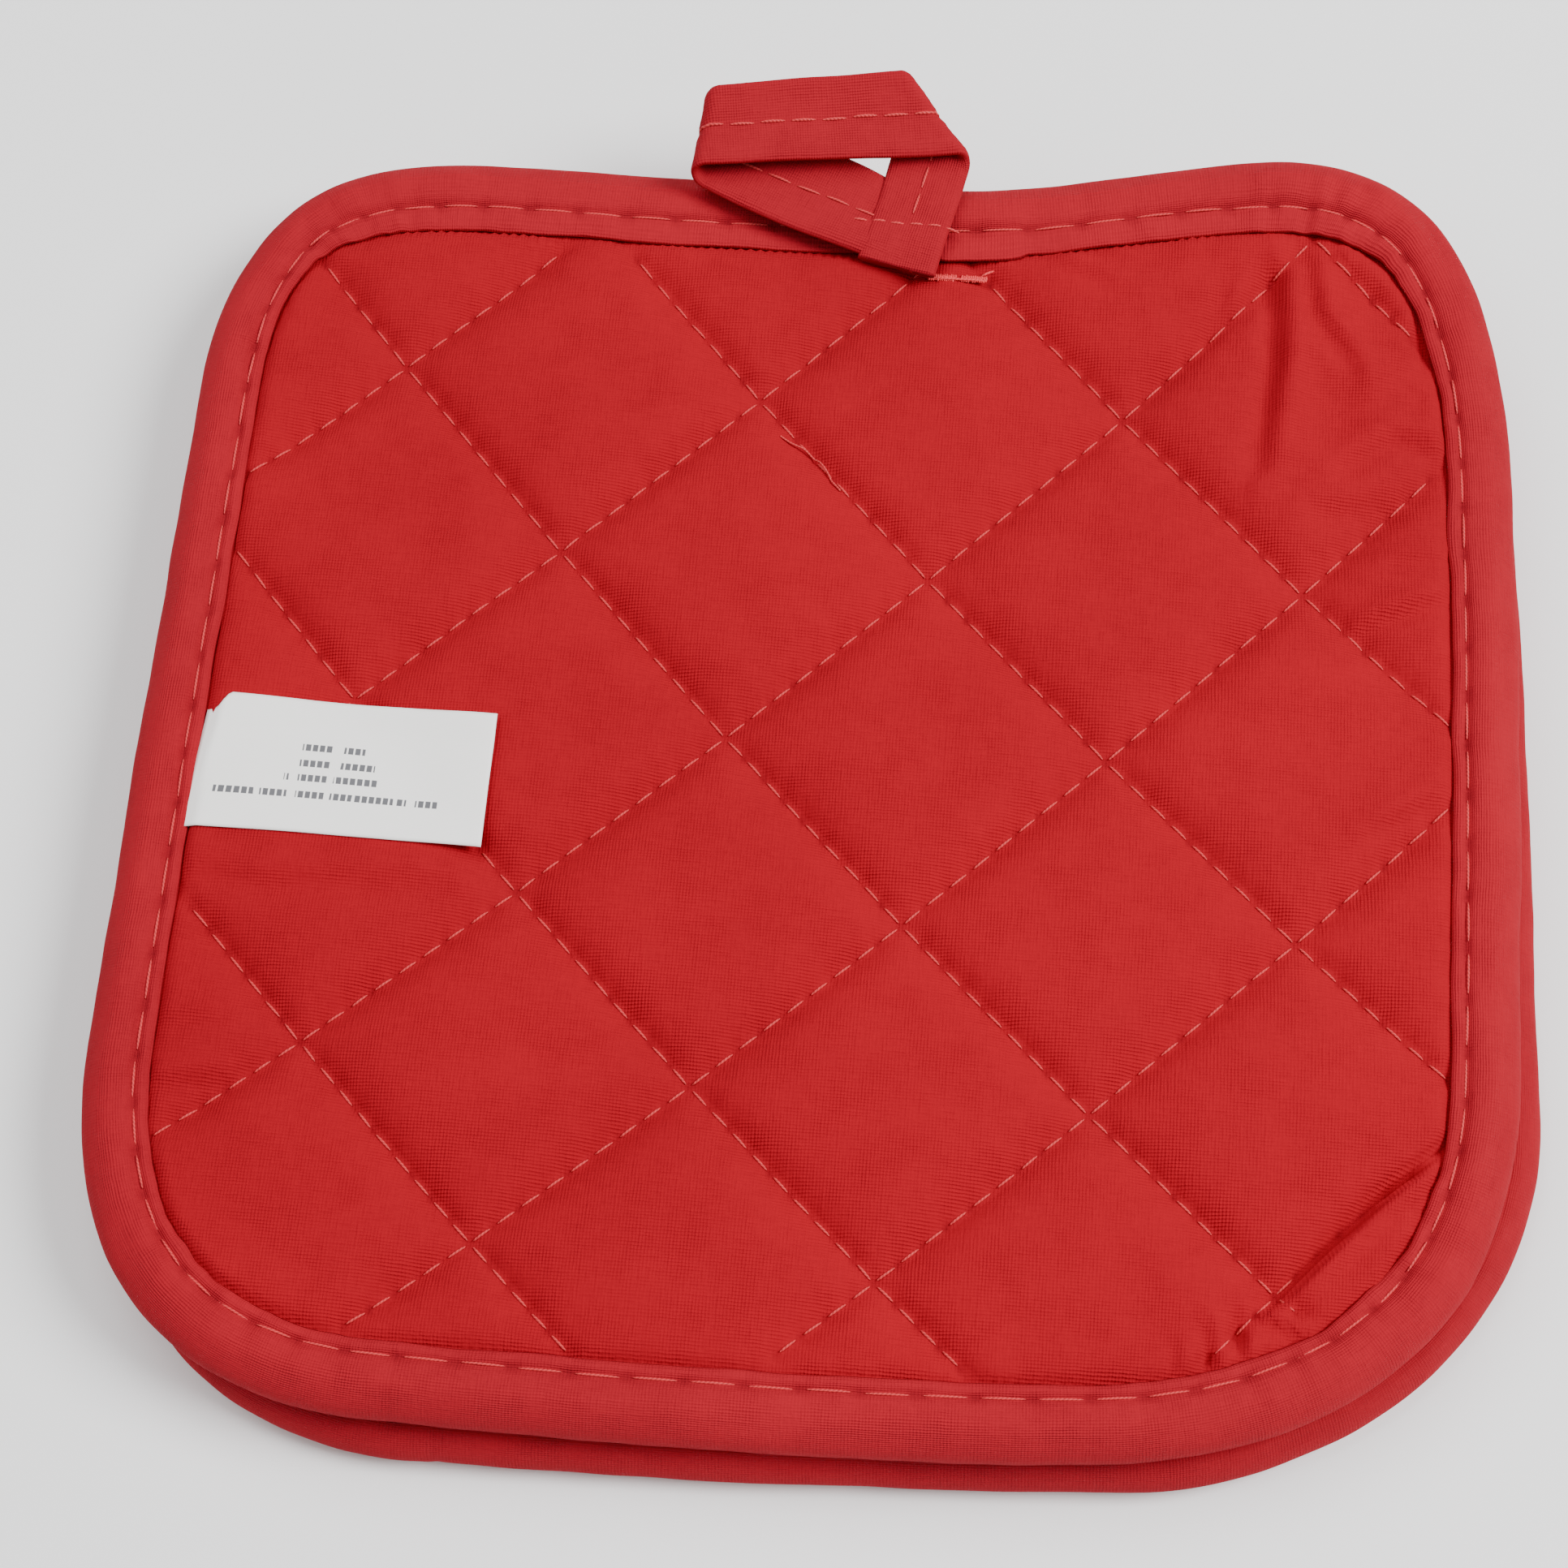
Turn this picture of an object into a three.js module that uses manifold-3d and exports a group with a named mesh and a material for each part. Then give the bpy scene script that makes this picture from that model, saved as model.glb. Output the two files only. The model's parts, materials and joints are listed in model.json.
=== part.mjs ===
// Two square quilted pot holders, one lying on the other. Millimetres, +Z up.
// Each holder is two cotton panels and a batting sheet, quilted together in
// diamonds, bound round the edge with folded tape, with a hanging loop of the
// same tape sewn to its top edge and a care label at its left edge.

import * as THREE from 'three';
import { mergeVertices } from 'three/addons/utils/BufferGeometryUtils.js';
import Module from 'manifold-3d';

const wasm = await Module();
wasm.setup();

// ---- driving dimensions -------------------------------------------------

const GAP = 0.3; // kept between pieces that touch

// layers of one holder, measured up from its underside
const PAD_THICKNESS = 7.0;
const LIP_THICKNESS = 1.0; // binding tape over each panel
const PANEL_THICKNESS = 1.0; // panel edge held inside the binding
const FIELD_TOP = 6.1; // quilted back panel, a little below the binding
const FIELD_BOTTOM = 0.0; // quilted face panel, level with the binding

// binding tape
const BINDING_WIDTH = 9.0; // along the sides and the bottom edge
const BINDING_EXTRA_AT_TOP = 3.4; // the tape shows wider along the top edge
const BINDING_WALL = 1.2;
const LAYER_INSET = 1.98; // the panels and the batting start this far inside the outline
const RING_STEPS = 44;

// quilting: diamonds whose corners stand on a grid of half diagonals
const HALF_DIAGONAL_X = 24.5;
const HALF_DIAGONAL_Y = 23.9;
const DIAMOND_CENTRE = new THREE.Vector2(11.7, 2.2);
const GROOVE_DEPTH = 0.9;
const GROOVE_HALF_WIDTH = 1.8;
const GROOVE_OVERRUN = 6; // grooves run on under the binding
const LAST_LINE = 7; // lines are numbered from the middle diamond, every other one used
const SHORTEST_LINE = 40;
const THREAD_WIDTH = 0.4;
const THREAD_HEIGHT = 0.2;
const THREAD_DEPTH = 0.2; // quilting thread lies this far down its groove

// hanging loop: a flat folded tape
const TAPE_WIDTH = 11.0;
const TAPE_THICKNESS = 0.9;
const LOOP_Y = 80.8; // where the standing loop leaves its sewn line
const ANCHOR_LENGTH = 11.4; // stitching across both ends of the loop
const ANCHOR_X = 5.3;

// dense bar of stitches beside the loop
const BARTACK_LENGTH = 7.8;
const BARTACK_WIDTH = 0.9;
const BARTACK_HEIGHT = 0.4;
const BARTACK_Y = 72.2;

// care label
const LABEL_LENGTH = 36.8;
const LABEL_WIDTH = 19.0;
const LABEL_THICKNESS = 0.4;
const LABEL_CENTRE_Y = -6.6;

// how the two holders lie
const LOWER_SHIFT = new THREE.Vector2(2.8, -2.9);
const LOWER_TURN = THREE.MathUtils.degToRad(1.2);
const UPPER_TILT = THREE.MathUtils.degToRad(0.7); // its top edge rests on the lower loop
const UPPER_LIFT = PAD_THICKNESS + GAP + 90 * Math.sin(UPPER_TILT);

// ---- colours ------------------------------------------------------------

const finish = (color, roughness) => new THREE.MeshStandardMaterial({ color, roughness, metalness: 0 });
const RED_COTTON = finish(0xb8292b, 0.9);
const RED_TAPE = finish(0xbf3436, 0.88);
const RED_THREAD = finish(0xdc5c56, 0.6);
const PINK_THREAD = finish(0xe8827c, 0.55);
const WHITE_BATTING = finish(0xe9e6df, 0.95);
const WHITE_LABEL = finish(0xf4f1ee, 0.7);

// ---- helpers --------------------------------------------------------------

// position-only geometry with its shared vertices joined
function bare(geometry) {
  const copy = geometry.clone();
  for (const name of ['normal', 'uv']) copy.deleteAttribute(name);
  return mergeVertices(copy, 1e-4);
}

function solid(geometry) {
  const clean = bare(geometry);
  return new wasm.Manifold(new wasm.Mesh({
    numProp: 3,
    vertProperties: new Float32Array(clean.attributes.position.array),
    triVerts: new Uint32Array(clean.index.array),
  }));
}

function geometryOf(manifold) {
  const mesh = manifold.getMesh();
  const geometry = new THREE.BufferGeometry();
  geometry.setAttribute('position', new THREE.BufferAttribute(mesh.vertProperties, 3));
  geometry.setIndex(new THREE.BufferAttribute(mesh.triVerts, 1));
  geometry.computeVertexNormals();
  return geometry;
}

function mesh(name, geometry, material) {
  const piece = new THREE.Mesh(geometry, material);
  piece.name = name;
  return piece;
}

// moves every vertex of a geometry by a function of its place
function reshape(geometry, place) {
  const position = geometry.attributes.position;
  const vertex = new THREE.Vector3();
  for (let i = 0; i < position.count; i += 1) {
    vertex.fromBufferAttribute(position, i);
    position.setXYZ(i, ...place(vertex, i).toArray());
  }
  geometry.computeVertexNormals();
  return geometry;
}

function plate(shape, bottom, top) {
  const geometry = new THREE.ExtrudeGeometry(shape, { depth: top - bottom, bevelEnabled: false });
  return geometry.translate(0, 0, bottom);
}

// ---- the holder's outline ---------------------------------------------------

// rounded square, its top edge dipping a little towards the loop
function outlinePath() {
  const path = new THREE.Path();
  path.moveTo(-44, -88.6);
  path.bezierCurveTo(-20, -89.3, 12, -89.0, 36, -87.6);
  path.bezierCurveTo(68, -86.4, 88, -70, 88.6, -40);
  path.bezierCurveTo(88.9, -14, 88.8, 14, 88.4, 40);
  path.bezierCurveTo(88.2, 73, 78, 92.6, 54, 92.3);
  path.bezierCurveTo(38, 92.0, 26, 88.4, 8, 88.0);
  path.bezierCurveTo(-14, 87.5, -30, 87.8, -52, 88.4);
  path.bezierCurveTo(-80, 88.9, -91, 78, -90.2, 44);
  path.bezierCurveTo(-89.9, 16, -89.4, -16, -88.7, -44);
  path.bezierCurveTo(-88.2, -72, -74, -89, -44, -88.6);
  return path;
}

const OUTLINE = outlinePath();

// a place on the edge: its point, its outward direction and the binding's width there
function edgeAt(step) {
  const part = (step % RING_STEPS) / RING_STEPS;
  const point = OUTLINE.getPointAt(part);
  const tangent = OUTLINE.getTangentAt(part);
  const outward = new THREE.Vector2(tangent.y, -tangent.x);
  const width = BINDING_WIDTH + BINDING_EXTRA_AT_TOP * Math.max(0, outward.y) ** 2;
  return { point, outward, width };
}

const EDGE = Array.from({ length: RING_STEPS }, (_, step) => edgeAt(step));

// outline moved inwards by a share of the binding's width plus a distance
function insetShape(share, distance) {
  return new THREE.Shape(EDGE.map(({ point, outward, width }) =>
    point.clone().addScaledVector(outward, -(share * width + distance))));
}

// A closed section swept round the edge. Section points are [inset, height]:
// inset 0 is the outer edge and inset 1 is the inner edge of the binding.
function edgeRing(section) {
  const radius = 10;
  const closed = [...section, section[0]];
  const profile = closed.map(([inset, height]) => new THREE.Vector2(radius - inset, height));
  const ring = new THREE.LatheGeometry(profile, RING_STEPS);
  return reshape(ring, (vertex, i) => {
    const { point, outward, width } = EDGE[Math.floor(i / closed.length) % RING_STEPS];
    const [inset, height] = closed[i % closed.length];
    const place = point.clone().addScaledVector(outward, -inset * width);
    return vertex.set(place.x, place.y, height);
  });
}

// ---- pieces of one holder ---------------------------------------------------

// folded tape round the edge: a rolled C that holds both panels and the batting
function bindingTape() {
  const wall = BINDING_WALL / BINDING_WIDTH;
  const t = PAD_THICKNESS;
  const lip = LIP_THICKNESS;
  return edgeRing([
    [0.0, t / 2], [0.06, t * 0.82], [0.26, t], [0.72, t], [0.79, t - 0.6], [0.86, t],
    [1.0, t - 0.2], [1.0, t - lip], [wall, t - lip],
    [wall, lip], [1.0, lip], [1.0, 0.2], [0.86, 0], [0.79, 0.6], [0.72, 0], [0.26, 0], [0.06, t * 0.18],
  ]);
}

// one row of stitching in the dimple round the binding
function bindingStitch(height) {
  const half = THREAD_WIDTH / 2 / BINDING_WIDTH;
  return edgeRing([
    [0.79 - half, height], [0.79 - half, height + THREAD_HEIGHT],
    [0.79 + half, height + THREAD_HEIGHT], [0.79 + half, height],
  ]);
}

// where a straight line enters and leaves a closed outline, along its direction
function spanInside(origin, direction, points) {
  const hits = [];
  points.forEach((from, i) => {
    const side = points[(i + 1) % points.length].clone().sub(from);
    const reach = from.clone().sub(origin);
    const along = reach.cross(side) / direction.cross(side);
    const share = reach.cross(direction) / direction.cross(side);
    if (share >= 0 && share < 1) hits.push(along);
  });
  return [Math.min(...hits), Math.max(...hits)];
}

// Bars along the quilting lines, joined. Each is made by a function of its length
// and reaches past an outline by a distance; lines that only clip a corner have none.
function alongQuilting(makeBar, outline, past) {
  const bars = [];
  for (const slope of [1, -1]) {
    const direction = new THREE.Vector2(HALF_DIAGONAL_X, slope * HALF_DIAGONAL_Y).normalize();
    for (let line = -LAST_LINE; line <= LAST_LINE; line += 2) {
      const origin = DIAMOND_CENTRE.clone().setX(DIAMOND_CENTRE.x + line * HALF_DIAGONAL_X);
      const [start, end] = spanInside(origin, direction, outline);
      if (end - start > SHORTEST_LINE) {
        const middle = origin.clone().addScaledVector(direction, (start + end) / 2);
        const bar = makeBar(end - start + 2 * past).rotateZ(direction.angle());
        bars.push(solid(bar.translate(middle.x, middle.y, 0)));
      }
    }
  }
  return bars.reduce((all, bar) => all.add(bar));
}

function quiltGrooves(height) {
  const side = Math.SQRT2 * GROOVE_DEPTH;
  const groove = (length) => new THREE.BoxGeometry(length, side, side).rotateX(Math.PI / 4)
    .scale(1, GROOVE_HALF_WIDTH / GROOVE_DEPTH, 1).translate(0, 0, height);
  return alongQuilting(groove, insetShape(1, GAP).getPoints(), GROOVE_OVERRUN);
}

function quiltingThread(height) {
  const line = (length) => new THREE.BoxGeometry(length, THREAD_WIDTH, THREAD_HEIGHT)
    .translate(0, 0, height);
  return geometryOf(alongQuilting(line, insetShape(1, GAP).getPoints(), -1));
}

// a panel: the quilted field stands proud of the edge that the binding holds
function panel(edgeBottom, edgeTop, fieldBottom, fieldTop, grooveHeight) {
  const edge = solid(plate(insetShape(0, LAYER_INSET), edgeBottom, edgeTop));
  const field = solid(plate(insetShape(1, GAP), fieldBottom, fieldTop));
  return geometryOf(edge.add(field).subtract(quiltGrooves(grooveHeight)));
}

function batting() {
  const bottom = LIP_THICKNESS + PANEL_THICKNESS + 2 * GAP;
  return plate(insetShape(0, LAYER_INSET), bottom, PAD_THICKNESS - bottom);
}

// thin label with one clipped corner, sewn under the left binding
function careLabel() {
  const left = -78.9;
  const low = LABEL_CENTRE_Y - LABEL_WIDTH / 2;
  const shape = new THREE.Shape();
  shape.moveTo(left, low);
  shape.lineTo(left + LABEL_LENGTH, low - 0.4);
  shape.lineTo(left + LABEL_LENGTH, low + LABEL_WIDTH - 1.0);
  shape.lineTo(left + 1.6, low + LABEL_WIDTH);
  shape.lineTo(left, low + LABEL_WIDTH - 2.2);
  return plate(shape, FIELD_TOP + GAP, FIELD_TOP + GAP + LABEL_THICKNESS);
}

// dense bar of stitches through the quilting, beside the loop
function fieldBartack(route) {
  const bar = new THREE.BoxGeometry(BARTACK_LENGTH, BARTACK_WIDTH, BARTACK_HEIGHT);
  return bar.translate(route.bartackX, BARTACK_Y, FIELD_TOP + GAP + BARTACK_HEIGHT / 2);
}

// ---- the hanging loop ---------------------------------------------------

// Folds a flat strip. Strip places are (along, across, up); each crease turns
// what lies beyond it up and over, round a bend of its own radius.
function foldStrip(creases, place) {
  const folded = place.clone();
  for (const { at, angle, turn, radius } of [...creases].reverse()) {
    const ahead = new THREE.Vector2(Math.sin(angle), -Math.cos(angle));
    const side = new THREE.Vector2(Math.cos(angle), Math.sin(angle));
    const half = (radius * turn) / 2;
    const flat = new THREE.Vector2(place.x - at, place.y).dot(ahead);
    if (flat > -half) {
      const held = new THREE.Vector2(folded.x - at, folded.y);
      const along = held.dot(side);
      const bend = Math.min(turn, (flat + half) / radius);
      const rest = flat > half ? held.dot(ahead) - half : 0;
      const forward = -half + (radius - folded.z) * Math.sin(bend) + rest * Math.cos(bend);
      const up = radius - (radius - folded.z) * Math.cos(bend) + rest * Math.sin(bend);
      folded.set(at + forward * ahead.x + along * side.x, forward * ahead.y + along * side.y, up);
    }
  }
  return folded;
}

// places a folded strip on the holder, its first leg starting at a point and heading
function foldedTape(route, from, to, width, bottom, top, steps) {
  const strip = new THREE.BoxGeometry(to - from, width, top - bottom, steps, 2, 1);
  strip.translate((to + from) / 2, 0, (bottom + top) / 2);
  const heading = new THREE.Vector2(Math.cos(route.heading), Math.sin(route.heading));
  return reshape(strip, (vertex) => {
    const folded = foldStrip(route.creases, vertex);
    const x = route.start.x + folded.x * heading.x - folded.y * heading.y;
    const y = route.start.y + folded.x * heading.y + folded.y * heading.x;
    return vertex.set(x, y, route.start.z + folded.z + route.rise(y));
  });
}

const degrees = THREE.MathUtils.degToRad;

// the loop as it stands out past the top edge, its outer fold curling up
const LOOP_OUT = {
  start: new THREE.Vector3(4.9, LOOP_Y - 3, PAD_THICKNESS + GAP + 1.65),
  heading: degrees(79),
  creases: [
    { at: 17.5, angle: degrees(54), turn: degrees(176), radius: 1.1 },
    { at: 49.5, angle: degrees(101), turn: degrees(180), radius: 1.7 },
  ],
  length: 82.0,
  rise: (y) => 0.03 * Math.max(0, y - 84) ** 2,
  sewnBelow: LOOP_Y,
  ends: [[-15, 80.5], [-8.5, 77.6], [-0.6, 74.8], [8.8, 71.9], [10.8, 80.5]],
  endsThickness: 2 * TAPE_THICKNESS - 0.2,
  stitchY: 79.2,
  bartackX: 12.7,
};

// the loop folded inwards, flat on the quilting, both its ends sewn side by side
const LOOP_IN = {
  start: new THREE.Vector3(11.2, 75.6, FIELD_TOP + GAP + TAPE_THICKNESS / 2),
  heading: degrees(-90),
  creases: [
    { at: 18.0, angle: degrees(135), turn: degrees(180), radius: 0.62 },
    { at: 30.4, angle: degrees(45), turn: degrees(180), radius: 0.62 },
  ],
  length: 48.4,
  rise: (y) => (PAD_THICKNESS - FIELD_TOP) * THREE.MathUtils.smoothstep(y, 72, 75.4),
  ends: [[-6.7, 76.0], [16.7, 76.0], [16.7, 82.6], [-6.7, 82.6]],
  endsThickness: TAPE_THICKNESS,
  stitchY: 79.2,
  bartackX: 22.5,
};

// the free part of the tape, from its sewn line round to its sewn line
function loopTape(route) {
  const half = TAPE_THICKNESS / 2;
  const tape = foldedTape(route, 0, route.length, TAPE_WIDTH, -half, half, 40);
  if (route.sewnBelow === undefined) return tape;
  const beyond = new THREE.BoxGeometry(200, 100, 100).translate(0, route.sewnBelow + 50, 0);
  return geometryOf(solid(tape).intersect(solid(beyond)));
}

// thread along the middle of the loop's outer band
function loopStitch(route) {
  const [first, second] = route.creases;
  const face = -TAPE_THICKNESS / 2 - GAP;
  return foldedTape(route, first.at + 5, second.at - 4, THREAD_WIDTH, face - THREAD_HEIGHT, face, 4);
}

// both ends of the tape, sewn down on the binding
function loopEnds(route) {
  const bottom = PAD_THICKNESS + GAP;
  const shape = new THREE.Shape(route.ends.map(([x, y]) => new THREE.Vector2(x, y)));
  return plate(shape, bottom, bottom + route.endsThickness);
}

function loopAnchorStitch(route) {
  const bottom = PAD_THICKNESS + 2 * GAP + route.endsThickness;
  const bar = new THREE.BoxGeometry(ANCHOR_LENGTH, THREAD_WIDTH, THREAD_HEIGHT);
  return bar.translate(ANCHOR_X, route.stitchY, bottom + THREAD_HEIGHT / 2);
}

// ---- assembly -------------------------------------------------------------

function potHolder(name, loop) {
  const holder = new THREE.Group();
  const edgeTop = PAD_THICKNESS - LIP_THICKNESS - GAP;
  const edgeBottom = LIP_THICKNESS + GAP;
  const stitchLow = 0.05;
  const add = (label, geometry, material) => holder.add(mesh(`${name}_${label}`, geometry, material));

  add('binding_tape', bindingTape(), RED_TAPE);
  add('face_panel', panel(edgeBottom, edgeBottom + PANEL_THICKNESS, FIELD_BOTTOM,
    edgeBottom + PANEL_THICKNESS, FIELD_BOTTOM), RED_COTTON);
  add('batting', batting(), WHITE_BATTING);
  add('back_panel', panel(edgeTop - PANEL_THICKNESS, edgeTop, edgeTop - PANEL_THICKNESS,
    FIELD_TOP, FIELD_TOP), RED_COTTON);
  add('quilting_thread_face', quiltingThread(FIELD_BOTTOM + THREAD_DEPTH + THREAD_HEIGHT / 2), RED_THREAD);
  add('quilting_thread_back', quiltingThread(FIELD_TOP - THREAD_DEPTH - THREAD_HEIGHT / 2), RED_THREAD);
  add('binding_stitch_face', bindingStitch(stitchLow), RED_THREAD);
  add('binding_stitch_back', bindingStitch(PAD_THICKNESS - stitchLow - THREAD_HEIGHT), RED_THREAD);
  add('care_label', careLabel(), WHITE_LABEL);
  add('field_bartack', fieldBartack(loop), PINK_THREAD);
  add('loop_ends', loopEnds(loop), RED_TAPE);
  add('loop_anchor_stitch', loopAnchorStitch(loop), RED_THREAD);
  add('hanging_loop', loopTape(loop), RED_TAPE);
  add('loop_stitch', loopStitch(loop), RED_THREAD);
  return holder;
}

const lower = potHolder('lower', LOOP_IN);
lower.position.set(LOWER_SHIFT.x, LOWER_SHIFT.y, 0);
lower.rotation.z = LOWER_TURN;

const upper = potHolder('upper', LOOP_OUT);
upper.position.z = UPPER_LIFT;
upper.rotation.x = UPPER_TILT;

const potHolders = new THREE.Group();
potHolders.add(lower, upper);

export default potHolders;
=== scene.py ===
import json
import math

import bpy
import numpy as np
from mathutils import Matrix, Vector, noise
from mathutils.bvhtree import BVHTree

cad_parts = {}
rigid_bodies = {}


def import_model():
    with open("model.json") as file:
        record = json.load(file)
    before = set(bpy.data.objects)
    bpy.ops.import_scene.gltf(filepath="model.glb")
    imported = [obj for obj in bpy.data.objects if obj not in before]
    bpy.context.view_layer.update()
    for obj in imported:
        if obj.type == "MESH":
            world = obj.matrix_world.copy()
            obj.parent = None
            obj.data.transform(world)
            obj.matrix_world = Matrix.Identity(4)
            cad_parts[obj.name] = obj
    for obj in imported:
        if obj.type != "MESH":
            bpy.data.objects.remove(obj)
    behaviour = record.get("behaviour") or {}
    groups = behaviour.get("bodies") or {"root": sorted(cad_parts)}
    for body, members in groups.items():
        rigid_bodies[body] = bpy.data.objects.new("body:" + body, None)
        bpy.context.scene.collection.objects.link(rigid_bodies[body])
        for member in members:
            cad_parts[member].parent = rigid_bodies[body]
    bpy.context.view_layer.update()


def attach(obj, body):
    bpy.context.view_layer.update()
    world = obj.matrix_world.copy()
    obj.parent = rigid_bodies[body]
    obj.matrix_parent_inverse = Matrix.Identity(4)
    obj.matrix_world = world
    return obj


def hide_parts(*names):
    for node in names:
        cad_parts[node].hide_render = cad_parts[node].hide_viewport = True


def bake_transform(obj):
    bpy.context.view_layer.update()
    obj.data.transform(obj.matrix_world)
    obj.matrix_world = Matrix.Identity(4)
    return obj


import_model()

bl_info = {
    "name": "Quilted pot holder pair",
    "version": (1, 0, 0),
    "blender": (4, 5, 0),
    "location": "View3D > Sidebar > Pot holders",
    "description": "Two square quilted cotton pot holders with bound edges and hanging loops",
    "category": "Object",
}

MM = 0.001

# How each holder lies, in millimetres. Holder places have +Y to the loop and +Z up.
PAD_THICKNESS = 7.0
MID_HEIGHT = PAD_THICKNESS / 2
LOWER_SHIFT = (2.8, -2.9)
LOWER_TURN = math.radians(1.2)
UPPER_TILT = math.radians(0.7)
HOLDER_GAP = 0.3
NEAR_EDGE = 90  # from a holder's middle
UPPER_LIFT = PAD_THICKNESS + HOLDER_GAP + NEAR_EDGE * math.sin(UPPER_TILT)
CORNER_CURL = 6.0  # the upper holder's far right corner stands up this much
CORNER_CUT = {"upper": 0.9, "lower": 2.2}  # taken off the near right corner, each way
CORNER_REACH = {"upper": (72, 112), "lower": (90, 113)}  # along the diagonal
LOWER_TRIM = 0.9  # taken off the lower holder's near edge

# outline of a holder, counter-clockwise, as curves of three points each
EDGE_START = (-44, -88.6)
EDGE_CURVES = [
    ((-20, -89.3), (12, -89.0), (36, -87.6)), ((68, -86.4), (88, -70), (88.6, -40)),
    ((88.9, -14), (88.8, 14), (88.4, 40)), ((88.2, 73), (78, 92.6), (54, 92.3)),
    ((38, 92.0), (26, 88.4), (8, 88.0)), ((-14, 87.5), (-30, 87.8), (-52, 88.4)),
    ((-80, 88.9), (-91, 78), (-90.2, 44)), ((-89.9, 16), (-89.4, -16), (-88.7, -44)),
    ((-88.2, -72), (-74, -89), (-44, -88.6)),
]
STATIONS = 620  # round the edge
BINDING_WIDTH = 9.0
BINDING_EXTRA_AT_TOP = 3.4
TAPE_WALL = 1.15  # thickness of the folded tape on each face

# quilting: diamonds whose corners stand on a grid of half diagonals
GRID_X = 11.7
GRID_Y = 1.75
HALF_X = 24.5
HALF_Y = 23.95
SIDE_STEPS = 18  # mesh steps along one side of a diamond
STITCH_STEPS = 2  # mesh steps in one quilting stitch
SEAM_HEIGHT = 4.9
FLAT_HEIGHT = 5.2
RIM_HEIGHT = 6.1  # where a panel meets the binding

# depths of the marks that sewing leaves in a panel
SEAM_SINK = 0.3
NEEDLE_SINK = 0.4
PLEAT_HEIGHT = 0.13
STITCH_LIFT = 0.1  # a stitch's middle line above the cloth

TAPE_WIDTH = 11.0
LOOP_STITCH = 4.1
ANCHOR_STITCH = 2.6
ANCHOR_Y = 79.2

BARTACK_X = {"lower": 22.5, "upper": 12.7}
BARTACK_Y = 72.2
BARTACK_PITCH = 0.3

LABEL_SIZE = (38.3, 19.0)
LABEL_CORNER = (-80.4, -16.1)
LABEL_THICKNESS = 0.22


def sizes():
    return bpy.context.scene.holder_sizes


# ---- shared geometry -------------------------------------------------------------


def smooth(low, high, value):
    share = np.clip((np.asarray(value, float) - low) / (high - low), 0, 1)
    return share * share * (3 - 2 * share)


def corner_curl(x, y):
    """How far the upper holder's far right corner stands up, in millimetres."""
    return CORNER_CURL * smooth(14, 76, x) * smooth(46, 92, y)


def pressed(height):
    """Heights above something flat: cloth that would go below it spreads out on it instead."""
    soft = 0.4
    low = np.minimum(height, soft)
    return np.where(height < soft, soft * np.exp(low / soft - 1), height)


def lay_down(points, holder):
    """Takes places on a holder, in millimetres, to where it lies, in metres."""
    p = np.array(points, float).reshape(-1, 3)
    p[:, 2] = pressed(p[:, 2])
    # the near right corner is cut rounder than the others
    cut = CORNER_CUT[holder] * smooth(*CORNER_REACH[holder], (p[:, 0] - p[:, 1]) / math.sqrt(2))
    p[:, 0] -= cut
    p[:, 1] += cut
    if holder == "lower":
        p[:, 1] += LOWER_TRIM * smooth(-55, -88, p[:, 1])
        above = UPPER_LIFT + (p[:, 1] + LOWER_SHIFT[1]) * math.sin(UPPER_TILT)
        p[:, 2] = above - pressed(above - p[:, 2])
    if holder == "upper":
        z = p[:, 2] + corner_curl(p[:, 0], p[:, 1])
        c, s = math.cos(UPPER_TILT), math.sin(UPPER_TILT)
        placed = np.stack([p[:, 0], p[:, 1] * c - z * s, p[:, 1] * s + z * c + UPPER_LIFT], 1)
    else:
        c, s = math.cos(LOWER_TURN), math.sin(LOWER_TURN)
        placed = np.stack([p[:, 0] * c - p[:, 1] * s + LOWER_SHIFT[0],
                           p[:, 0] * s + p[:, 1] * c + LOWER_SHIFT[1], p[:, 2]], 1)
    return placed * MM


def grain(x, y, z=0.0):
    """Smooth random heights between about -1 and 1 at many places."""
    x, y, z = np.broadcast_arrays(np.asarray(x, float), y, z)
    flat = [noise.noise(Vector(p)) for p in zip(x.ravel(), y.ravel(), z.ravel())]
    return np.array(flat).reshape(x.shape)


def new_mesh(name, points, faces, uvs=None):
    mesh = bpy.data.meshes.new(name)
    mesh.from_pydata([tuple(p) for p in points], [], [tuple(f) for f in faces])
    if uvs is not None:
        layer = mesh.uv_layers.new(name="cloth")
        layer.data.foreach_set("uv", np.asarray(uvs, np.float32).ravel())
    mesh.update()
    piece = bpy.data.objects.new(name, mesh)
    bpy.context.scene.collection.objects.link(piece)
    return piece


def deselect_all():
    for other in bpy.context.view_layer.objects:
        other.select_set(False)


def pick(piece):
    deselect_all()
    piece.select_set(True)
    bpy.context.view_layer.objects.active = piece


def apply_modifier(piece, kind, **settings):
    pick(piece)
    modifier = piece.modifiers.new(kind.title(), kind)
    for name, value in settings.items():
        setattr(modifier, name, value)
    bpy.ops.object.modifier_apply(modifier=modifier.name)


def places_of(piece):
    co = np.zeros(len(piece.data.vertices) * 3)
    piece.data.vertices.foreach_get("co", co)
    return co.reshape(-1, 3)


def move_to(piece, places):
    piece.data.vertices.foreach_set("co", np.asarray(places, float).ravel())
    piece.data.update()


def finish_piece(piece, material, nodes, body=None):
    """Gives a piece its cloth, smooth faces and its body, and hides the CAD nodes it stands for."""
    piece.data.materials.clear()
    piece.data.materials.append(material)
    piece.data.shade_smooth()
    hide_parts(*nodes)
    if body:
        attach(piece, body)


def seat_tree(points, faces):
    """For finding the height of a surface, in holder millimetres."""
    return BVHTree.FromPolygons([tuple(p) for p in points], [tuple(f) for f in faces])


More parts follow.
